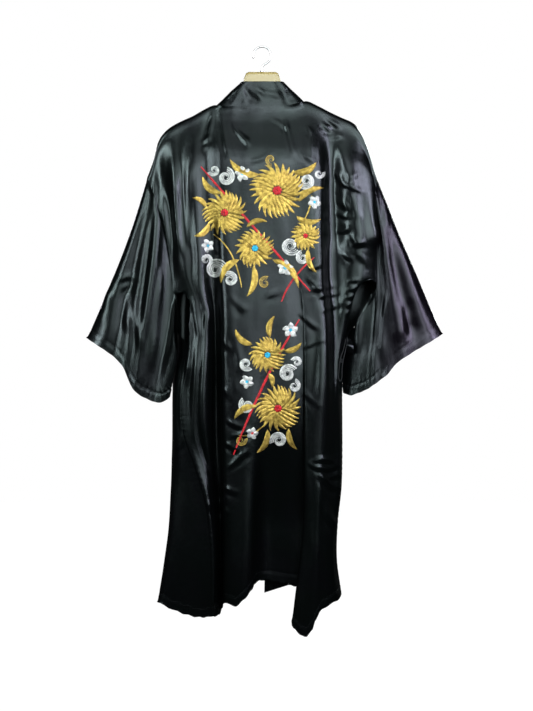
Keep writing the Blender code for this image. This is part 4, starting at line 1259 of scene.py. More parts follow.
def piece(name, mesh, material):
    """A finished piece of the robe, smooth but for its sharp edges. It rides on the robe's body."""
    if name in bpy.data.objects and "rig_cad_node" not in bpy.data.objects[name]:
        bpy.data.objects.remove(bpy.data.objects[name])
    mesh.name = name
    mesh.materials.clear()
    mesh.materials.append(material)
    mesh.shade_smooth()
    mesh.set_sharp_from_angle(angle=math.radians(SHARP_EDGE))
    made = bpy.data.objects.new(name, mesh)
    bpy.context.scene.collection.objects.link(made)
    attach(made, "root")
    return made


# Materials


def linear(code):
    """An sRGB colour such as #1a1a1a, as a linear one."""
    shares = [int(code[i : i + 2], 16) / 255 for i in (1, 3, 5)]
    return [s / 12.92 if s <= 0.04045 else ((s + 0.055) / 1.055) ** 2.4 for s in shares]


def add_node(tree, kind, inputs=None, **settings):
    """A shader node with its settings; an input takes a value, or a socket to link from."""
    made = tree.nodes.new("ShaderNode" + kind)
    for name, value in settings.items():
        setattr(made, name, value)
    for socket, value in (inputs or {}).items():
        if isinstance(value, bpy.types.NodeSocket):
            tree.links.new(value, made.inputs[socket])
        else:
            made.inputs[socket].default_value = value
    return made


def new_material(name, **shader_values):
    material = bpy.data.materials.new(name)
    material.use_nodes = True
    shader = material.node_tree.nodes["Principled BSDF"]
    for socket, value in shader_values.items():
        shader.inputs[socket.replace("_", " ")].default_value = value
    return material, material.node_tree, shader


def opaque(colour):
    return (*colour, 1.0)


def band_scale(spacing):
    """The scale at which a band texture repeats once in this many millimetres."""
    return math.pi / 10 / (spacing * MM)


def noise_scale(size):
    """The scale at which a noise texture's marks are about this many millimetres across."""
    return 1 / (size * MM)


def satin(colours):
    """Black polyester satin, woven in long floats.

    They shine along the folds in grey, with a cast of green or purple.
    """
    material, tree, shader = new_material(
        "black_polyester_satin", Specular_IOR_Level=SATIN_SPECULAR
    )
    place = add_node(tree, "TexCoord").outputs["Object"]
    patchy = {"Vector": place, "Scale": noise_scale(TINT_PATCH), "Detail": 2.0}
    patches = add_node(tree, "TexNoise", patchy).outputs["Fac"]
    share = add_node(tree, "MapRange", {"Value": patches, **TINT_EDGE}).outputs["Result"]
    apart = add_node(tree, "SeparateXYZ", {0: place}).outputs["X"]
    sleeve = add_node(tree, "MapRange", {"Value": apart, **SLEEVE_TINT}).outputs["Result"]
    cast = {0: share, 1: PURPLE_SHARE, 2: sleeve}
    purple = add_node(tree, "Math", cast, operation="MULTIPLY_ADD", use_clamp=True).outputs[0]
    for socket, green_side, purple_side in (
        ("Base Color", colours.green_black, colours.purple_black),
        ("Specular Tint", colours.green_shine, colours.purple_sheen),
    ):
        sides = {0: purple, 6: opaque(green_side), 7: opaque(purple_side)}
        tint = add_node(tree, "Mix", sides, data_type="RGBA")
        tree.links.new(tint.outputs[2], shader.inputs[socket])
    cut = add_node(tree, "UVMap", uv_map="cut").outputs["UV"]
    woven = {"Vector": cut, "Scale": band_scale(FLOAT_SPACING), **FLOAT_BEND}
    floats = add_node(tree, "TexWave", woven, bands_direction="X").outputs["Fac"]
    weave = add_node(tree, "Bump", {**WEAVE_BUMP, "Height": floats}).outputs["Normal"]
    crinkled = {"Vector": place, "Scale": noise_scale(CRINKLE_SIZE), "Detail": 3.0}
    crinkles = add_node(tree, "TexNoise", crinkled).outputs["Fac"]
    worn = add_node(tree, "MapRange", {"Value": crinkles, **CRINKLE_ROUGHNESS})
    tree.links.new(worn.outputs["Result"], shader.inputs["Roughness"])
    soft = add_node(tree, "Bump", {**CRINKLE_BUMP, "Height": crinkles, "Normal": weave})
    stretched = add_node(tree, "Mapping", {"Vector": place, "Scale": CRUMPLE_STRETCH}).outputs[0]
    crumpled = {"Vector": stretched, "Scale": noise_scale(CRUMPLE_SIZE), **CRUMPLE_EDGES}
    crumples = add_node(tree, "TexNoise", crumpled, noise_type="RIDGED_MULTIFRACTAL")
    handled = add_node(tree, "MapRange", {"Value": patches, **CRUMPLE_STRENGTH})
    pressed = add_node(
        tree,
        "Bump",
        {
            "Strength": handled.outputs["Result"],
            "Distance": CRUMPLE_HEIGHT,
            "Height": crumples.outputs["Fac"],
            "Normal": soft.outputs["Normal"],
        },
    )
    tree.links.new(pressed.outputs["Normal"], shader.inputs["Normal"])
    return material


def thread(name, colours):
    """Rayon and metallic embroidery thread: fine rounded strands, their tops painted lit, the gaps
    between them and random patches painted in shade.
    """
    lit = opaque(getattr(colours, name))
    shade = opaque(getattr(colours, f"{name}_shade"))
    metallic, roughness = THREADS[name]
    material, tree, shader = new_material(
        f"{name}_embroidery_thread",
        Metallic=metallic,
        Roughness=roughness,
        Specular_IOR_Level=THREAD_SPECULAR,
    )
    strand = add_node(tree, "UVMap", uv_map="thread").outputs["UV"]
    stranded = {"Vector": strand, "Scale": band_scale(STRAND_SPACING), **STRAND_BEND}
    strands = add_node(tree, "TexWave", stranded, bands_direction="X").outputs["Fac"]
    # Painted light and shade: strand tops in the lit colour, the gaps between strands in painted
    # shade
    top = add_node(tree, "MapRange", {"Value": strands, "From Max": STRAND_LIT}).outputs["Result"]
    strands_painted_lit_and_shaded = add_node(tree, "Mix", {0: top, 6: shade, 7: lit}, data_type="RGBA").outputs[2]
    place = add_node(tree, "TexCoord").outputs["Object"]
    patchy = {"Vector": place, "Scale": noise_scale(THREAD_PATCH), "Detail": 2.0}
    patches = add_node(tree, "TexNoise", patchy).outputs["Fac"]
    # Patches of painted shade, which darken the thread towards its shade colour
    uneven = add_node(tree, "MapRange", {"Value": patches, **THREAD_SHADE}).outputs["Result"]
    colour = add_node(tree, "Mix", {0: uneven, 6: strands_painted_lit_and_shaded, 7: shade}, data_type="RGBA")
    tree.links.new(colour.outputs[2], shader.inputs["Base Color"])
    bump = add_node(tree, "Bump", {**STRAND_BUMP, "Height": strands})
    tree.links.new(bump.outputs["Normal"], shader.inputs["Normal"])
    return material


def sewing_thread(cloth):
    """Black spun polyester thread: matt, its twist a faint bump, with a painted highlight in grey
    along the twist.
    """
    found = bpy.data.materials.get("black_sewing_thread")
    if found:
        return found
    material, tree, shader = new_material(
        "black_sewing_thread", Roughness=SEWING_ROUGHNESS, Specular_IOR_Level=THREAD_SPECULAR
    )
    place = add_node(tree, "TexCoord").outputs["Object"]
    twisted = {"Vector": place, "Scale": noise_scale(TWIST_SIZE), "Detail": 2.0}
    twist_and_painted_highlight = add_node(tree, "TexNoise", twisted).outputs["Fac"]
    # Painted highlight: the twist mixes the black with a grey where the thread would catch the light
    sides = {0: twist_and_painted_highlight, 6: opaque(cloth.green_black), 7: opaque(cloth.thread_painted_highlight)}
    colour = add_node(tree, "Mix", sides, data_type="RGBA")
    tree.links.new(colour.outputs[2], shader.inputs["Base Color"])
    bump = add_node(tree, "Bump", {**TWIST_BUMP, "Height": twist_and_painted_highlight})
    tree.links.new(bump.outputs["Normal"], shader.inputs["Normal"])
    return material


def wood(colours):
    """Varnished pale wood, sawn along its grain: straight streaks a little darker."""
    material, tree, shader = new_material(
        "varnished_pale_wood", Roughness=WOOD_ROUGHNESS, Coat_Weight=VARNISH
    )
    pale = opaque(colours.wood)
    place = add_node(tree, "TexCoord").outputs["Object"]
    along = add_node(tree, "Mapping", {"Vector": place, "Scale": GRAIN_STRETCH}).outputs[0]
    grained = {"Vector": along, "Scale": band_scale(GRAIN_WIDTH), **GRAIN_BEND}
    grain = add_node(tree, "TexWave", grained, bands_direction="Z").outputs["Fac"]
    faded = add_node(tree, "MapRange", {"Value": grain, "To Max": GRAIN_SHARE}).outputs["Result"]
    sides = {0: faded, 6: pale, 7: opaque(colours.grain)}
    board = add_node(tree, "Mix", sides, data_type="RGBA").outputs[2]
    streaky = {"Vector": along, "Scale": noise_scale(STREAK_WIDTH), "Detail": 4.0}
    streaks = add_node(tree, "TexNoise", streaky).outputs["Fac"]
    colour = add_node(tree, "Mix", {0: streaks, 6: board, 7: pale}, data_type="RGBA")
    tree.links.new(colour.outputs[2], shader.inputs["Base Color"])
    bump = add_node(tree, "Bump", {**GRAIN_BUMP, "Height": grain})
    tree.links.new(bump.outputs["Normal"], shader.inputs["Normal"])
    return material


def plated_steel(colours):
    """Bright plated steel wire: drawn along its length, with faint marks where it is handled."""
    material, tree, shader = new_material("bright_plated_steel", Metallic=1.0)
    shader.inputs["Base Color"].default_value = opaque(colours.steel)
    place = add_node(tree, "TexCoord").outputs["Object"]
    marked = {"Vector": place, "Scale": noise_scale(MARK_SIZE), "Detail": 3.0}
    marks = add_node(tree, "TexNoise", marked).outputs["Fac"]
    dulled = add_node(tree, "MapRange", {"Value": marks, **STEEL_ROUGHNESS})
    tree.links.new(dulled.outputs["Result"], shader.inputs["Roughness"])
    return material


def colour_setting(name, description, code):
    """A colour of the panel's, given as sRGB hex."""
    return FloatVectorProperty(
        name=name, description=description, default=linear(code), subtype="COLOR"
    )


class HaoriCloth(bpy.types.PropertyGroup):
    wall: FloatProperty(
        name="Cloth thickness",
        description="Thickness of the satin as it shows",
        default=0.0007,
        min=0.0002,
        max=0.003,
        subtype="DISTANCE",
        unit="LENGTH",
    )
    hem: FloatProperty(
        name="Hem",
        description="Width of the turned-up hem at the foot and the cuffs",
        default=0.02,
        min=0.0,
        subtype="DISTANCE",
        unit="LENGTH",
    )
    crease_depth: FloatProperty(
        name="Crease depth",
        description="Share of their own depth that the creases and ripples take",
        default=1.0,
        min=0.0,
        max=2.0,
        subtype="FACTOR",
    )
    green_black: colour_setting("Greenish black", "The satin where it leans to green", "#020303")
    purple_black: colour_setting("Purplish black", "The satin where it leans to purple", "#030204")
    green_shine: colour_setting(
        "Greenish shine", "Tint of the shine where the satin leans to green", "#d2e1e6"
    )
    # Painted highlight of the sewing thread, mixed in along its twist
    thread_painted_highlight: colour_setting("Thread", "The sewing thread where it catches the light", "#1c1d20")
    purple_sheen: colour_setting(
        "Purplish shine", "Tint of the shine where the satin leans to purple", "#d9d4ea"
    )


# Each plain colour is a thread where its strands are painted lit; each shade colour is painted shade,
# between the strands and in patches
class HaoriThreads(bpy.types.PropertyGroup):
    gold: colour_setting("Gold", "Gold thread", "#a28a44")
    gold_shade: colour_setting("Gold shade", "Gold thread between its strands", "#382808")
    silver: colour_setting("Silver", "Silver-white thread", "#b4b4b1")
    silver_shade: colour_setting("Silver shade", "Silver thread between its strands", "#4a4c50")
    red: colour_setting("Red", "Red thread", "#b40c1c")
    red_shade: colour_setting("Red shade", "Red thread between its strands", "#4e040b")
    cyan: colour_setting("Cyan", "Cyan thread", "#1c93b2")
    cyan_shade: colour_setting("Cyan shade", "Cyan thread between its strands", "#0f5a74")


class HaoriHanger(bpy.types.PropertyGroup):
    wood: colour_setting("Wood", "The hanger's pale wood", "#776837")
    grain: colour_setting("Grain", "The darker streaks in the wood", "#56461f")
    steel: colour_setting("Steel", "The plated wire of the hook", "#c4c4c8")


class HaoriStudio(bpy.types.PropertyGroup):
    brightness: FloatProperty(
        name="Brightness",
        description="Multiplies the power of every soft light",
        default=0.168,
        min=0.0,
    )
    room_light: FloatProperty(
        name="Room light",
        description="Strength of the even light from all round",
        default=0.05,
        min=0.0,
    )
    floor_height: FloatProperty(
        name="Floor height",
        description="Height of the floor against the hook's crown",
        default=-1.75,
        subtype="DISTANCE",
        unit="LENGTH",
    )
    floor_glow: FloatProperty(
        name="Floor glow",
        description="How pale the floor looks beyond what the lights give it",
        default=1.0,
        min=0.0,
    )
    floor_radius: FloatProperty(
        name="Floor radius",
        description="Radius of the round floor",
        default=6.0,
        min=1.0,
        subtype="DISTANCE",
        unit="LENGTH",
    )


# Pieces

# Each hemmed piece's grid, the side that it faces and whether it is a tube, for the stitches
HEMS = {}


def replaced(made, node):
    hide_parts(node)
    return made


def satin_of(context):
    found = bpy.data.materials.get("black_polyester_satin")
    return found or satin(context.scene.haori_cloth)


def back_grid():
    left = mirrored_depth(LEFT_ARMHOLE) + LEFT_BACK_SLIT + LEFT_SIDE_SEAM
    right = mirrored_depth(RIGHT_ARMHOLE) + RIGHT_BACK_SLIT + RIGHT_SIDE_SEAM
    rows = panel(BACK_FOLDS, left, right, -1, BACK_COUNTS)
    return finer(rows, BACK_STEP, BACK_STEP)


def dressed_back(context):
    """The back panel's surface with its creases, seams and hem."""
    cloth = context.scene.haori_cloth
    grid = softened(back_grid(), 2)
    free = clear_of_seams(grid, top=True, first=True, last=True, slit=UNDERARM_SLIT)
    grid = creased(grid, -1, BACK_CREASES, BACK_RIPPLES, free, strength=cloth.crease_depth)
    grid = seamed(grid, -1, (0, -1))
    return hemmed(grid, -1, cloth.hem / MM, free)


class HAORI_OT_back_panel(bpy.types.Operator):
    """Makes the back panel, whole from the shoulders to the hem"""

    bl_idname = "haori.back_panel"
    bl_label = "Back panel"

    def execute(self, context):
        cloth = context.scene.haori_cloth
        grid = dressed_back(context)
        HEMS["back_panel"] = (grid, -1, False)
        made = shell("back_panel_cloth", grid, cloth.wall / MM, satin_of(context))
        replaced(made, "back_panel")
        return {"FINISHED"}


class HAORI_OT_front_panels(bpy.types.Operator):
    """Makes the two front panels, which hang behind the back panel and meet the long band"""

    bl_idname = "haori.front_panels"
    bl_label = "Front panels"

    def execute(self, context):
        cloth = context.scene.haori_cloth
        left_outer = LEFT_ARMHOLE + LEFT_FRONT_SLIT + LEFT_SIDE_SEAM
        right_outer = RIGHT_ARMHOLE + RIGHT_FRONT_SLIT + RIGHT_SIDE_SEAM
        turned = tuple(reversed(FRONT_RIGHT_FOLDS))
        left = panel(FRONT_LEFT_FOLDS, left_outer, LEFT_BAND_SEAM, 1, FRONT_LEFT_COUNTS)
        right = panel(turned, RIGHT_BAND_SEAM, right_outer, 1, FRONT_RIGHT_COUNTS)
        for side, rows, creases in (
            ("left", left, FRONT_LEFT_CREASES),
            ("right", right, FRONT_RIGHT_CREASES),
        ):
            grid = softened(finer(rows, FRONT_STEP, FRONT_STEP), 2)
            free = clear_of_seams(grid, top=True, first=True, last=True)
            grid = creased(grid, 1, creases, FRONT_RIPPLES, free, strength=cloth.crease_depth)
            grid = hemmed(seamed(grid, 1, (0, -1)), 1, cloth.hem / MM, free)
            HEMS[f"front_panel_{side}"] = (grid, 1, False)
            made = shell(f"front_panel_{side}_cloth", grid, cloth.wall / MM, satin_of(context))
            replaced(made, f"front_panel_{side}")
        return {"FINISHED"}


class HAORI_OT_sleeves(bpy.types.Operator):
    """Makes the two wide sleeves, tubes open at the cuff"""

    bl_idname = "haori.sleeves"
    bl_label = "Sleeves"

    def execute(self, context):
        cloth = context.scene.haori_cloth
        left = sleeve_rows(LEFT_SLEEVE, LEFT_ARMHOLE, LEFT_SLEEVE_SAG, LEFT_SEAM_TUCK)
        right = sleeve_rows(RIGHT_SLEEVE, RIGHT_ARMHOLE, RIGHT_SLEEVE_SAG, RIGHT_SEAM_TUCK)
        for side, rows, outward, creases in (
            ("left", left, -1, LEFT_SLEEVE_CREASES),
            ("right", right, 1, RIGHT_SLEEVE_CREASES),
        ):
            grid = softened(finer(rows, SLEEVE_STEP, SLEEVE_STEP, closed=True), 2, closed=True)
            free = clear_of_seams(grid, top=True)
            grid = creased(
                grid,
                outward,
                creases,
                SLEEVE_RIPPLES,
                free,
                closed=True,
                facing=-1,
                strength=cloth.crease_depth,
            )
            grid = hemmed(grid, outward, cloth.hem / MM, free, closed=True, scallop=CUFF_SCALLOP)
            HEMS[f"sleeve_{side}"] = (grid, outward, True)
            look = satin_of(context)
            made = shell(f"sleeve_{side}_cloth", grid, cloth.wall / MM, look, closed=True)
            replaced(made, f"sleeve_{side}")
        return {"FINISHED"}


class HAORI_OT_neck_band(bpy.types.Operator):
    """Makes the long band that stands at the neck and runs down both front edges"""

    bl_idname = "haori.neck_band"
    bl_label = "Neck band"

    def execute(self, context):
        cloth = context.scene.haori_cloth
        grid = softened(finer(band_rows(), BAND_STEP, BAND_STEP), 1)
        free = clear_of_seams(grid, first=True)
        grid = creased(grid, 1, BAND_CREASES, BAND_RIPPLES, free, strength=cloth.crease_depth)
        made = shell("neck_band_cloth", grid, BAND_WALL, satin_of(context))
        replaced(made, "neck_band")
        return {"FINISHED"}


def belt_loop(cloth):
    """The thread loop for a belt, with a trefoil knot tied in its strands."""
    sewn = sewing_thread(cloth)
    spots = [(spot.x, spot.y, spot.z) for spot in BELT_LOOP]
    places = through(spots, [LOOP_STEPS] * (len(spots) - 1))
    loop = tube("belt_loop_cord", places, [LOOP_CORD / 2] * len(places), sewn)
    replaced(loop, "belt_loop")
    turns = np.linspace(0, 2 * math.pi, KNOT_STEPS, endpoint=False)
    knot = [
        (
            KNOT_PLACE[0] + KNOT_SIZE * (math.sin(t) + 2 * math.sin(2 * t)),
            KNOT_PLACE[1] - KNOT_SIZE * math.sin(3 * t),
            KNOT_PLACE[2] + KNOT_SIZE * (math.cos(t) - 2 * math.cos(2 * t)),
        )
        for t in turns
    ]
    tied = tube("belt_loop_knot", knot, [LOOP_CORD / 2] * KNOT_STEPS, sewn, closed=True)


def side_tie(context):
    """The ribbon end above the loop, creased along its middle."""
    cloth = context.scene.haori_cloth
    rows = []
    for spot in SIDE_TIE:
        edge = np.array((spot.half_width, spot.lean, 0.0))
        middle = np.array((spot.x, spot.y, spot.z), float)
        creased_in = middle + np.array((0.0, -RIBBON_CREASE, 0.0))
        rows.append([middle - edge, creased_in, middle + edge])
    grid = finer(rows, RIBBON_STEP, RIBBON_STEP)
    ribbon = shell("side_tie_ribbon", grid, cloth.wall / MM, satin_of(context))
    replaced(ribbon, "side_tie")


class HAORI_OT_trims(bpy.types.Operator):
    """Makes the thread loop for a belt with its knot, and the ribbon end above it"""

    bl_idname = "haori.trims"
    bl_label = "Loop and ribbon"

    def execute(self, context):
        belt_loop(context.scene.haori_cloth)
        side_tie(context)
        return {"FINISHED"}


class HAORI_OT_stitching(bpy.types.Operator):
    """Sews the hems of the panels and the cuffs, with a row of small stitches each"""

    bl_idname = "haori.stitching"
    bl_label = "Hem stitches"

    def execute(self, context):
        if not HEMS:
            raise RuntimeError("the panels and sleeves are made before their stitches")
        cloth = context.scene.haori_cloth
        bm = bmesh.new()
        for grid, outward, closed in HEMS.values():
            stitches(bm, grid, outward, cloth.hem / MM, cloth.wall / MM, closed)
        mesh = bpy.data.meshes.new("hem_stitches")
        bm.to_mesh(mesh)
        bm.free()
        piece("hem_stitches", mesh, sewing_thread(cloth))
        return {"FINISHED"}


# Embroidery, drawn in millimetres as it is seen from behind and then laid on the cloth

Blossom = namedtuple("Blossom", "name x z radius petals turn thread heart")
Leaf = namedtuple("Leaf", "name x z to_x to_z bend width thread")
Scroll = namedtuple("Scroll", "name x z radius turns start hand width thread")
Stem = namedtuple("Stem", "name x z mid_x mid_z to_x to_z width thread")

UPPER_BLOSSOMS = table(
    Blossom,
    ("great_upper", 34, -322, 62, 22, 8, "gold", "red"),
    ("great_left", -84, -372, 50, 20, 25, "gold", "red"),
    ("great_low", -16, -452, 44, 18, 3, "gold", "cyan"),
    ("half_right", 98, -424, 33, 14, 40, "gold", "red"),
    ("plum_top", -44, -284, 17, 5, 20, "silver", "cyan"),
    ("plum_right", 118, -348, 16, 5, 50, "silver", "cyan"),
    ("plum_low", 52, -496, 18, 5, 5, "silver", "cyan"),
    ("plum_left", -122, -446, 15, 5, 33, "silver", "cyan"),
)
UPPER_LEAVES = table(
    Leaf,
    ("over_top", -8, -286, -72, -252, 12, 17, "gold"),
    ("top_right", 70, -280, 122, -258, -10, 16, "gold"),
    ("right_out", 84, -346, 138, -316, 10, 15, "gold"),
    ("right_low", 78, -380, 132, -386, -10, 14, "gold"),
    ("left_top", -92, -328, -134, -290, 10, 15, "gold"),
    ("left_mid", -126, -360, -156, -338, -6, 12, "gold"),
    ("left_low", -120, -396, -152, -424, 8, 14, "gold"),
    ("low_left", -52, -478, -92, -530, -12, 16, "gold"),
    ("low_mid", -20, -492, -34, -560, 10, 15, "gold"),
    ("low_right", 24, -478, 82, -540, 14, 16, "gold"),
    ("right_foot", 104, -454, 122, -506, -8, 13, "gold"),
    ("between", -34, -404, 12, -392, 8, 12, "gold"),
)
UPPER_SCROLLS = table(
    Scroll,
    ("cloud_left_a", -104, -500, 21, 1.5, 20, 1, 5.5, "silver"),
    ("cloud_left_b", -72, -522, 16, 1.3, 140, -1, 5.0, "silver"),
    ("cloud_left_c", -126, -478, 13, 1.2, -60, 1, 4.5, "silver"),
    ("cloud_top_a", -82, -292, 18, 1.4, 80, -1, 5.0, "silver"),
    ("cloud_top_b", -108, -276, 12, 1.2, 200, 1, 4.0, "silver"),
    ("cloud_right_a", 64, -446, 19, 1.4, -30, -1, 5.5, "silver"),
    ("cloud_right_b", 92, -474, 14, 1.3, 100, 1, 4.5, "silver"),
    ("cloud_right_c", 100, -300, 17, 1.4, 210, 1, 5.0, "silver"),
    ("cloud_right_d", 128, -284, 11, 1.1, 20, -1, 4.0, "silver"),
    ("tendril_low", 6, -530, 13, 1.2, 60, 1, 2.6, "gold"),
    ("tendril_top", 20, -252, 12, 1.1, -80, -1, 2.6, "gold"),
)
UPPER_STEMS = table(
    Stem,
    ("long_red", -138, -268, -30, -392, 108, -548, 5.0, "red"),
    ("short_red", 118, -472, 60, -520, 44, -572, 4.0, "red"),
    ("gold_arch", -110, -420, -60, -452, -46, -540, 3.0, "gold"),
    ("gold_right", 88, -398, 108, -372, 112, -332, 2.6, "gold"),
)
LOWER_BLOSSOMS = table(
    Blossom,
    ("great_foot", 36, -812, 52, 20, 12, "gold", "red"),
    ("great_head", 12, -692, 41, 18, 30, "gold", "cyan"),
    ("plum_head", 64, -636, 17, 5, 12, "silver", "cyan"),
    ("plum_side", -34, -752, 16, 5, 40, "silver", "cyan"),
    ("plum_foot", -22, -868, 14, 5, 0, "silver", "red"),
)
LOWER_LEAVES = table(
    Leaf,
    ("head_left", -22, -668, -60, -634, 9, 14, "gold"),
    ("head_top", 18, -652, 28, -604, 7, 13, "gold"),
    ("head_right", 50, -682, 88, -664, -7, 13, "gold"),
    ("middle", 14, -734, 22, -764, 5, 12, "gold"),
    ("foot_left", -12, -808, -62, -836, -10, 15, "gold"),
    ("foot_low", 12, -860, -12, -912, 9, 14, "gold"),
    ("foot_right", 60, -858, 78, -904, -7, 13, "gold"),
)
LOWER_SCROLLS = table(
    Scroll,
    ("cloud_head_a", 58, -734, 18, 1.5, 30, 1, 5.5, "silver"),
    ("cloud_head_b", 78, -708, 11, 1.2, 160, -1, 4.5, "silver"),
    ("cloud_head_c", -36, -712, 14, 1.3, -40, -1, 4.5, "silver"),
    ("cloud_foot_a", -34, -806, 16, 1.4, 120, 1, 5.0, "silver"),
    ("cloud_foot_b", 38, -884, 17, 1.4, 200, -1, 5.5, "silver"),
    ("cloud_foot_c", 72, -762, 13, 1.2, 80, -1, 4.5, "silver"),
    ("tendril_foot", -48, -884, 12, 1.2, 20, -1, 2.6, "gold"),
)
LOWER_STEMS = table(
    Stem,
    ("long_red", 84, -612, 2, -742, -64, -916, 5.0, "red"),
    ("gold_low", 4, -850, -26, -880, -52, -872, 2.6, "gold"),
)
SPRAYS = (
    ("upper", UPPER_BLOSSOMS, UPPER_LEAVES, UPPER_SCROLLS, UPPER_STEMS),
    ("lower", LOWER_BLOSSOMS, LOWER_LEAVES, LOWER_SCROLLS, LOWER_STEMS),
)
# Below this height no stitch reaches past the pleat's edge
UPPER_FOOT = -590.0
PLEAT_EDGE = 92.0

# How far a strip of stitches lies off the middle of the cloth, how high it domes, what each layer
# adds, and the least half width of a strip
STITCH_CLEAR = 0.5
STITCH_RISE = 0.9
LAYER_RISE = 0.35
NEEDLE_POINT = 0.3

# The rings of a blossom by their reach and share of the petals, how much of each ring is hollow,
# how full its petals lie, and the size of its heart
Bloom = namedtuple("Bloom", "rings hollow fill heart")
PLUM = Bloom(((1.0, 1.0),), 0.12, 0.95, 0.22)
CHRYSANTHEMUM = Bloom(((1.0, 1.25), (0.80, 1.0), (0.60, 0.8), (0.40, 0.55)), 0.40, 0.80, 0.17)
PLUM_PETALS = 5
PETAL_STEPS = 9
PETAL_WIDEST = 0.62
PETAL_SLANT = 0.9
PETAL_SWIRL = (0.22, 0.16)
PETAL_UNEVEN = 0.06
HEART_KNOTS = 6
KNOT_PLACES = 0.55
KNOT_REACH = 0.42

# Leaves, the lines of a cloud scroll by their reach and share of its width, and stems
LEAF_STEPS = 15
LEAF_SLANT = 1.4
LEAF_LAYER = 0.3
SCROLL_LINES = ((1.25, 0.8), (1.0, 0.55), (0.78, 0.45))
SCROLL_STEPS = 26
SCROLL_LAYER = 0.2
STEM_STEPS = 40
STEM_LAYER = -0.4


class StitchedCloth:
    """The back panel's surface, where embroidery is laid as the camera sees it."""

    def __init__(self, grid):
        rows, columns = grid.shape[:2]
        corners = [
            (r * columns + c, r * columns + c + 1, (r + 1) * columns + c + 1, (r + 1) * columns + c)
            for r in range(rows - 1)
            for c in range(columns - 1)
        ]
        self.tree = BVHTree.FromPolygons([Vector(place) for place in grid.reshape(-1, 3)], corners)
        self.eye = Vector((CAMERA_X, -CAMERA_DISTANCE, CAMERA_Z))

    def place(self, x, z, height):
        """The point this far above the cloth, where (x, z) is seen."""
        towards = (Vector((x, 0.0, z)) - self.eye).normalized()
        spot, normal, _, _ = self.tree.ray_cast(self.eye, towards)
        if spot is None:
            raise RuntimeError(f"the embroidery at {x:.0f}, {z:.0f} misses the cloth")
        if normal.y > 0:
            normal = -normal
        return spot + normal * height


class ThreadWork:
    """Runs of stitches in one colour of thread."""

    def __init__(self, cloth):
        self.cloth = cloth
        self.bm = bmesh.new()
        self.threads = self.bm.loops.layers.uv.new("thread")

    def run(self, path, halves, layer=0, slant=0.0, across=4):
        """A domed strip of satin stitches along a path; slant turns the threads into a chevron."""
        path = np.array(path, float)
        along = np.concatenate([[0.0], np.cumsum(np.hypot(*np.diff(path, axis=0).T))])
        heading = np.gradient(path, axis=0)
        heading /= np.maximum(np.hypot(*heading.T), 1e-6)[:, None]
        sideways = np.stack([-heading[:, 1], heading[:, 0]], axis=1)
        made = bmesh.ops.create_grid(self.bm, x_segments=across, y_segments=len(path) - 1, size=1.0)
        lay = {}
        for i, vert in enumerate(made["verts"]):
            row, column = divmod(i, across + 1)
            t = 2 * column / across - 1
            half = max(halves[row], NEEDLE_POINT)
            x, z = path[row] + sideways[row] * half * t
            dome = STITCH_RISE * (1 - t * t) * min(half / 4, 1.0)
            height = STITCH_CLEAR + layer * LAYER_RISE + dome
            vert.co = self.cloth.place(min(x, PLEAT_EDGE) if z < UPPER_FOOT else x, z, height) * MM
            lay[vert] = ((along[row] + slant * half * abs(t)) * MM, half * t * MM)
        for face in {face for vert in made["verts"] for face in vert.link_faces}:
            for loop in face.loops:
                loop[self.threads].uv = lay[loop.vert]


def petal_halves(count, width):
    s = np.linspace(0, 1, count)
    return width / 2 * np.sin(math.pi * s**0.8) ** 0.7


def blossom_runs(work, flower):
    """Rings of petals, each shorter and higher than the one outside it, round a knotted heart."""
    bloom = PLUM if flower.petals == PLUM_PETALS else CHRYSANTHEMUM
    steps = np.linspace(0, 1, PETAL_STEPS)
    for layer, (reach, share) in enumerate(bloom.rings):
        count = max(PLUM_PETALS, round(flower.petals * share))
        outer = flower.radius * reach
        inner = outer * bloom.hollow
        width = 2 * math.pi * (inner + PETAL_WIDEST * (outer - inner)) / count * bloom.fill
        for k in range(count):
            angle = math.radians(flower.turn + 360 * (k + 0.5 * (layer % 2)) / count)
            swirl = PETAL_SWIRL[0] + PETAL_SWIRL[1] * math.sin(3 * angle + flower.turn)
            uneven = 1 + PETAL_UNEVEN * math.sin(5 * angle + layer)
            reach_now = inner + (outer - inner) * steps * uneven
            turned = angle + swirl * steps**2
            x = flower.x + reach_now * np.cos(turned)
            z = flower.z + reach_now * np.sin(turned)
            path = np.stack([x, z], axis=1)
            halves = petal_halves(PETAL_STEPS, width)
            work[flower.thread].run(path, halves, layer, slant=PETAL_SLANT)
    heart = flower.radius * bloom.heart
    for k in range(HEART_KNOTS):
        angle = math.radians(360 / HEART_KNOTS * k + flower.turn)
        x = flower.x + heart * KNOT_PLACES * math.cos(angle)
        z = flower.z + heart * KNOT_PLACES * math.sin(angle)
        reach = heart * KNOT_REACH
        path = [(x - reach, z), (x, z + 0.1), (x + reach, z)]
        work[flower.heart].run(path, [reach * 0.6, reach, reach * 0.6], len(bloom.rings) + 0.5)


def leaf_runs(work, leaf):
    """A leaf in two halves of slanting stitches."""
    steps = np.linspace(0, 1, LEAF_STEPS)
    run_x, run_z = leaf.to_x - leaf.x, leaf.to_z - leaf.z
    length = math.hypot(run_x, run_z)
    bow = leaf.bend * 4 * steps * (1 - steps)
    x = leaf.x + run_x * steps - run_z / length * bow
    z = leaf.z + run_z * steps + run_x / length * bow
    path = np.stack([x, z], axis=1)
    halves = petal_halves(LEAF_STEPS, leaf.width)
    work[leaf.thread].run(path, halves, LEAF_LAYER, slant=LEAF_SLANT, across=6)


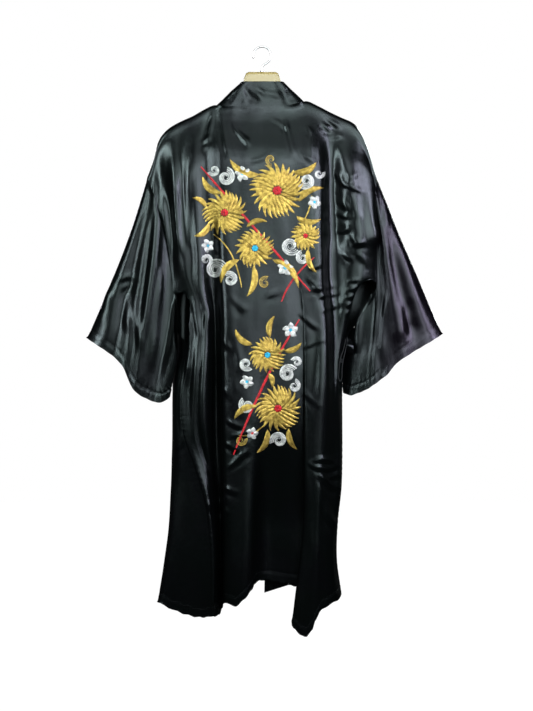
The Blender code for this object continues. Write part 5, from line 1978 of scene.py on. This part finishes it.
def scroll_runs(work, scroll):
    """A cloud scroll: spirals of stitches inside one another, thinning towards the middle."""
    for layer, (scale, share) in enumerate(SCROLL_LINES):
        width = scroll.width * share
        turns = scroll.turns - 0.25 * layer
        steps = np.linspace(0, 1, max(12, round(SCROLL_STEPS * turns)))
        angle = np.radians(scroll.start + scroll.hand * 360 * turns * steps)
        radius = scroll.radius * scale * (1 - 0.80 * steps**0.85)
        x = scroll.x + radius * np.cos(angle)
        z = scroll.z + radius * np.sin(angle)
        path = np.stack([x, z], axis=1)
        halves = width / 2 * (0.35 + 0.65 * np.sin(math.pi * np.clip(steps + 0.12, 0, 1)) ** 0.6)
        work[scroll.thread].run(path, halves, SCROLL_LAYER)


def stem_runs(work, stem):
    steps = np.linspace(0, 1, STEM_STEPS)[:, None]
    start, middle, end = (np.array(p, float) for p in (stem[1:3], stem[3:5], stem[5:7]))
    path = start * (1 - steps) ** 2 + 2 * middle * steps * (1 - steps) + end * steps**2
    halves = stem.width / 2 * (0.45 + 0.55 * np.sin(math.pi * steps[:, 0]) ** 0.5)
    work[stem.thread].run(path, halves, STEM_LAYER)


class HAORI_OT_embroidery(bpy.types.Operator):
    """Sews two sprays of chrysanthemums, plum blossoms and cloud scrolls on the back panel"""

    bl_idname = "haori.embroidery"
    bl_label = "Embroidery"

    def execute(self, context):
        threads = context.scene.haori_threads
        cloth = StitchedCloth(dressed_back(context))
        colours = {name: thread(name, threads) for name in THREADS}
        for spray, blossoms, leaves, scrolls, stems in SPRAYS:
            work = {name: ThreadWork(cloth) for name in colours}
            for stem in stems:
                stem_runs(work, stem)
            for leaf in leaves:
                leaf_runs(work, leaf)
            for scroll in scrolls:
                scroll_runs(work, scroll)
            for flower in blossoms:
                blossom_runs(work, flower)
            for name, sewn in work.items():
                made = thickened(f"embroidery_{spray}_{name}", sewn.bm, THREAD_WALL, colours[name])
        return {"FINISHED"}


class HAORI_OT_hanger(bpy.types.Operator):
    """Gives the wooden board from the solids its wood, and makes its wire hook"""

    bl_idname = "haori.hanger"
    bl_label = "Hanger"

    def execute(self, context):
        colours = context.scene.haori_hanger
        board = frame["nodes"]["hanger_board"]
        board.data.materials.clear()
        board.data.materials.append(wood(colours))
        centre = HOOK_WIRE / 2 - HOOK_RADIUS
        places = [(spot.x, 0.0, spot.z) for spot in HOOK_SHANK]
        radii = [spot.thickness / 2 for spot in HOOK_SHANK]
        angles = np.radians(np.linspace(HOOK_START, HOOK_END, HOOK_FINE_STEPS))
        ring = []
        for angle in angles:
            x, z = HOOK_RADIUS * math.cos(angle), centre + HOOK_RADIUS * math.sin(angle)
            ring.append((x, 0.0, z))
        bend = through([places[-2], places[-1], ring[0], ring[1]], (1, HOOK_BEND_STEPS, 1))[2:-2]
        places += [tuple(place) for place in bend] + ring
        radii += [HOOK_WIRE / 2] * (len(places) - len(radii) - 1) + [HOOK_TIP * HOOK_WIRE / 2]
        hook = tube("hanger_hook_wire", places, radii, plated_steel(colours))
        replaced(hook, "hanger_hook")
        return {"FINISHED"}


def lay_floor(studio):
    """A round floor, pale to the camera but so dark to the lights that it throws almost none back."""
    bm = bmesh.new()
    radius = studio.floor_radius
    bmesh.ops.create_circle(bm, cap_ends=True, segments=FLOOR_SIDES, radius=radius)
    bmesh.ops.translate(bm, verts=bm.verts[:], vec=(0.0, 0.0, studio.floor_height))
    mesh = bpy.data.meshes.new("floor")
    bm.to_mesh(mesh)
    bm.free()
    floor = bpy.data.objects.new("floor", mesh)
    bpy.context.scene.collection.objects.link(floor)
    material, tree, shader = new_material("pale_studio_floor", Roughness=FLOOR_ROUGHNESS)
    shader.inputs["Base Color"].default_value = opaque([FLOOR_BASE] * 3)
    lit = shader.outputs[0]
    seen = add_node(tree, "LightPath").outputs["Is Camera Ray"]
    pale = add_node(tree, "Emission", {"Strength": studio.floor_glow}).outputs[0]
    both = add_node(tree, "AddShader", {0: pale, 1: lit}).outputs[0]
    shown = add_node(tree, "MixShader", {0: seen, 1: lit, 2: both}).outputs[0]
    tree.links.new(shown, tree.nodes["Material Output"].inputs["Surface"])
    mesh.materials.append(material)


def set_up_softboxes(studio):
    aim = Vector((CAMERA_X * MM, 0.0, CAMERA_Z * MM))
    for lamp in SOFTBOXES:
        light = bpy.data.lights.new(lamp.name, "AREA")
        light.shape = "RECTANGLE"
        light.size, light.size_y = lamp.wide, lamp.high
        light.energy = lamp.power * studio.brightness
        light.spread = math.radians(lamp.spread)
        light.color = linear(lamp.colour)
        holder = bpy.data.objects.new(lamp.name, light)
        holder.location = (lamp.x, lamp.y, lamp.z)
        target = aim + Vector((lamp.aim_x, 0.0, lamp.aim_z))
        holder.rotation_euler = (target - holder.location).to_track_quat("-Z", "Y").to_euler()
        bpy.context.scene.collection.objects.link(holder)


def whiten_room(studio):
    """A dim even light from all round, and white behind all that the camera sees."""
    world = bpy.data.worlds.new("white_studio")
    bpy.context.scene.world = world
    world.use_nodes = True
    tree = world.node_tree
    tree.nodes.clear()
    seen = add_node(tree, "LightPath").outputs["Is Camera Ray"]
    room, backdrop = (
        add_node(tree, "Background", {"Color": WHITE, "Strength": strength}).outputs[0]
        for strength in (studio.room_light, 1.0)
    )
    both = add_node(tree, "MixShader", {0: seen, 1: room, 2: backdrop}).outputs[0]
    add_node(tree, "OutputWorld", {"Surface": both})


def stand_camera():
    camera = bpy.data.cameras.new("photo_camera")
    camera.sensor_width = SENSOR_WIDTH
    camera.lens = SENSOR_WIDTH * CAMERA_DISTANCE / VIEW_HEIGHT
    stand = bpy.data.objects.new("photo_camera", camera)
    stand.location = (CAMERA_X * MM, -CAMERA_DISTANCE * MM, CAMERA_Z * MM)
    stand.rotation_euler = (math.radians(90.0), 0.0, 0.0)
    bpy.context.scene.collection.objects.link(stand)
    bpy.context.scene.camera = stand


class HAORI_OT_stage(bpy.types.Operator):
    """Makes the pale floor, the soft studio lights and the camera"""

    bl_idname = "haori.stage"
    bl_label = "Stage"

    def execute(self, context):
        studio = context.scene.haori_studio
        lay_floor(studio)
        set_up_softboxes(studio)
        whiten_room(studio)
        stand_camera()
        context.scene.view_settings.view_transform = "Standard"
        context.scene.view_settings.look = "None"
        return {"FINISHED"}


class HAORI_PT_panel(bpy.types.Panel):
    """Shows the robe's settings and the buttons that make its pieces"""

    bl_label = "Haori"
    bl_idname = "HAORI_PT_panel"
    bl_space_type = "VIEW_3D"
    bl_region_type = "UI"
    bl_category = "Haori"

    def draw(self, context):
        layout = self.layout
        scene = context.scene
        for group in (
            scene.haori_cloth,
            scene.haori_threads,
            scene.haori_hanger,
            scene.haori_studio,
        ):
            for name in group.bl_rna.properties.keys():
                if name not in ("rna_type", "name"):
                    layout.prop(group, name)
        for maker in MAKERS:
            layout.operator(maker.bl_idname)


MAKERS = (
    HAORI_OT_stage,
    HAORI_OT_back_panel,
    HAORI_OT_front_panels,
    HAORI_OT_sleeves,
    HAORI_OT_neck_band,
    HAORI_OT_trims,
    HAORI_OT_stitching,
    HAORI_OT_embroidery,
    HAORI_OT_hanger,
)
CLASSES = (HaoriCloth, HaoriThreads, HaoriHanger, HaoriStudio, *MAKERS, HAORI_PT_panel)


def register():
    for made in CLASSES:
        bpy.utils.register_class(made)
    bpy.types.Scene.haori_cloth = PointerProperty(type=HaoriCloth)
    bpy.types.Scene.haori_threads = PointerProperty(type=HaoriThreads)
    bpy.types.Scene.haori_hanger = PointerProperty(type=HaoriHanger)
    bpy.types.Scene.haori_studio = PointerProperty(type=HaoriStudio)


def unregister():
    del bpy.types.Scene.haori_studio
    del bpy.types.Scene.haori_hanger
    del bpy.types.Scene.haori_threads
    del bpy.types.Scene.haori_cloth
    for made in reversed(CLASSES):
        bpy.utils.unregister_class(made)


def main():
    register()
    for maker in MAKERS:
        group, name = maker.bl_idname.split(".")
        getattr(getattr(bpy.ops, group), name)()


if __name__ == "__main__":
    main()
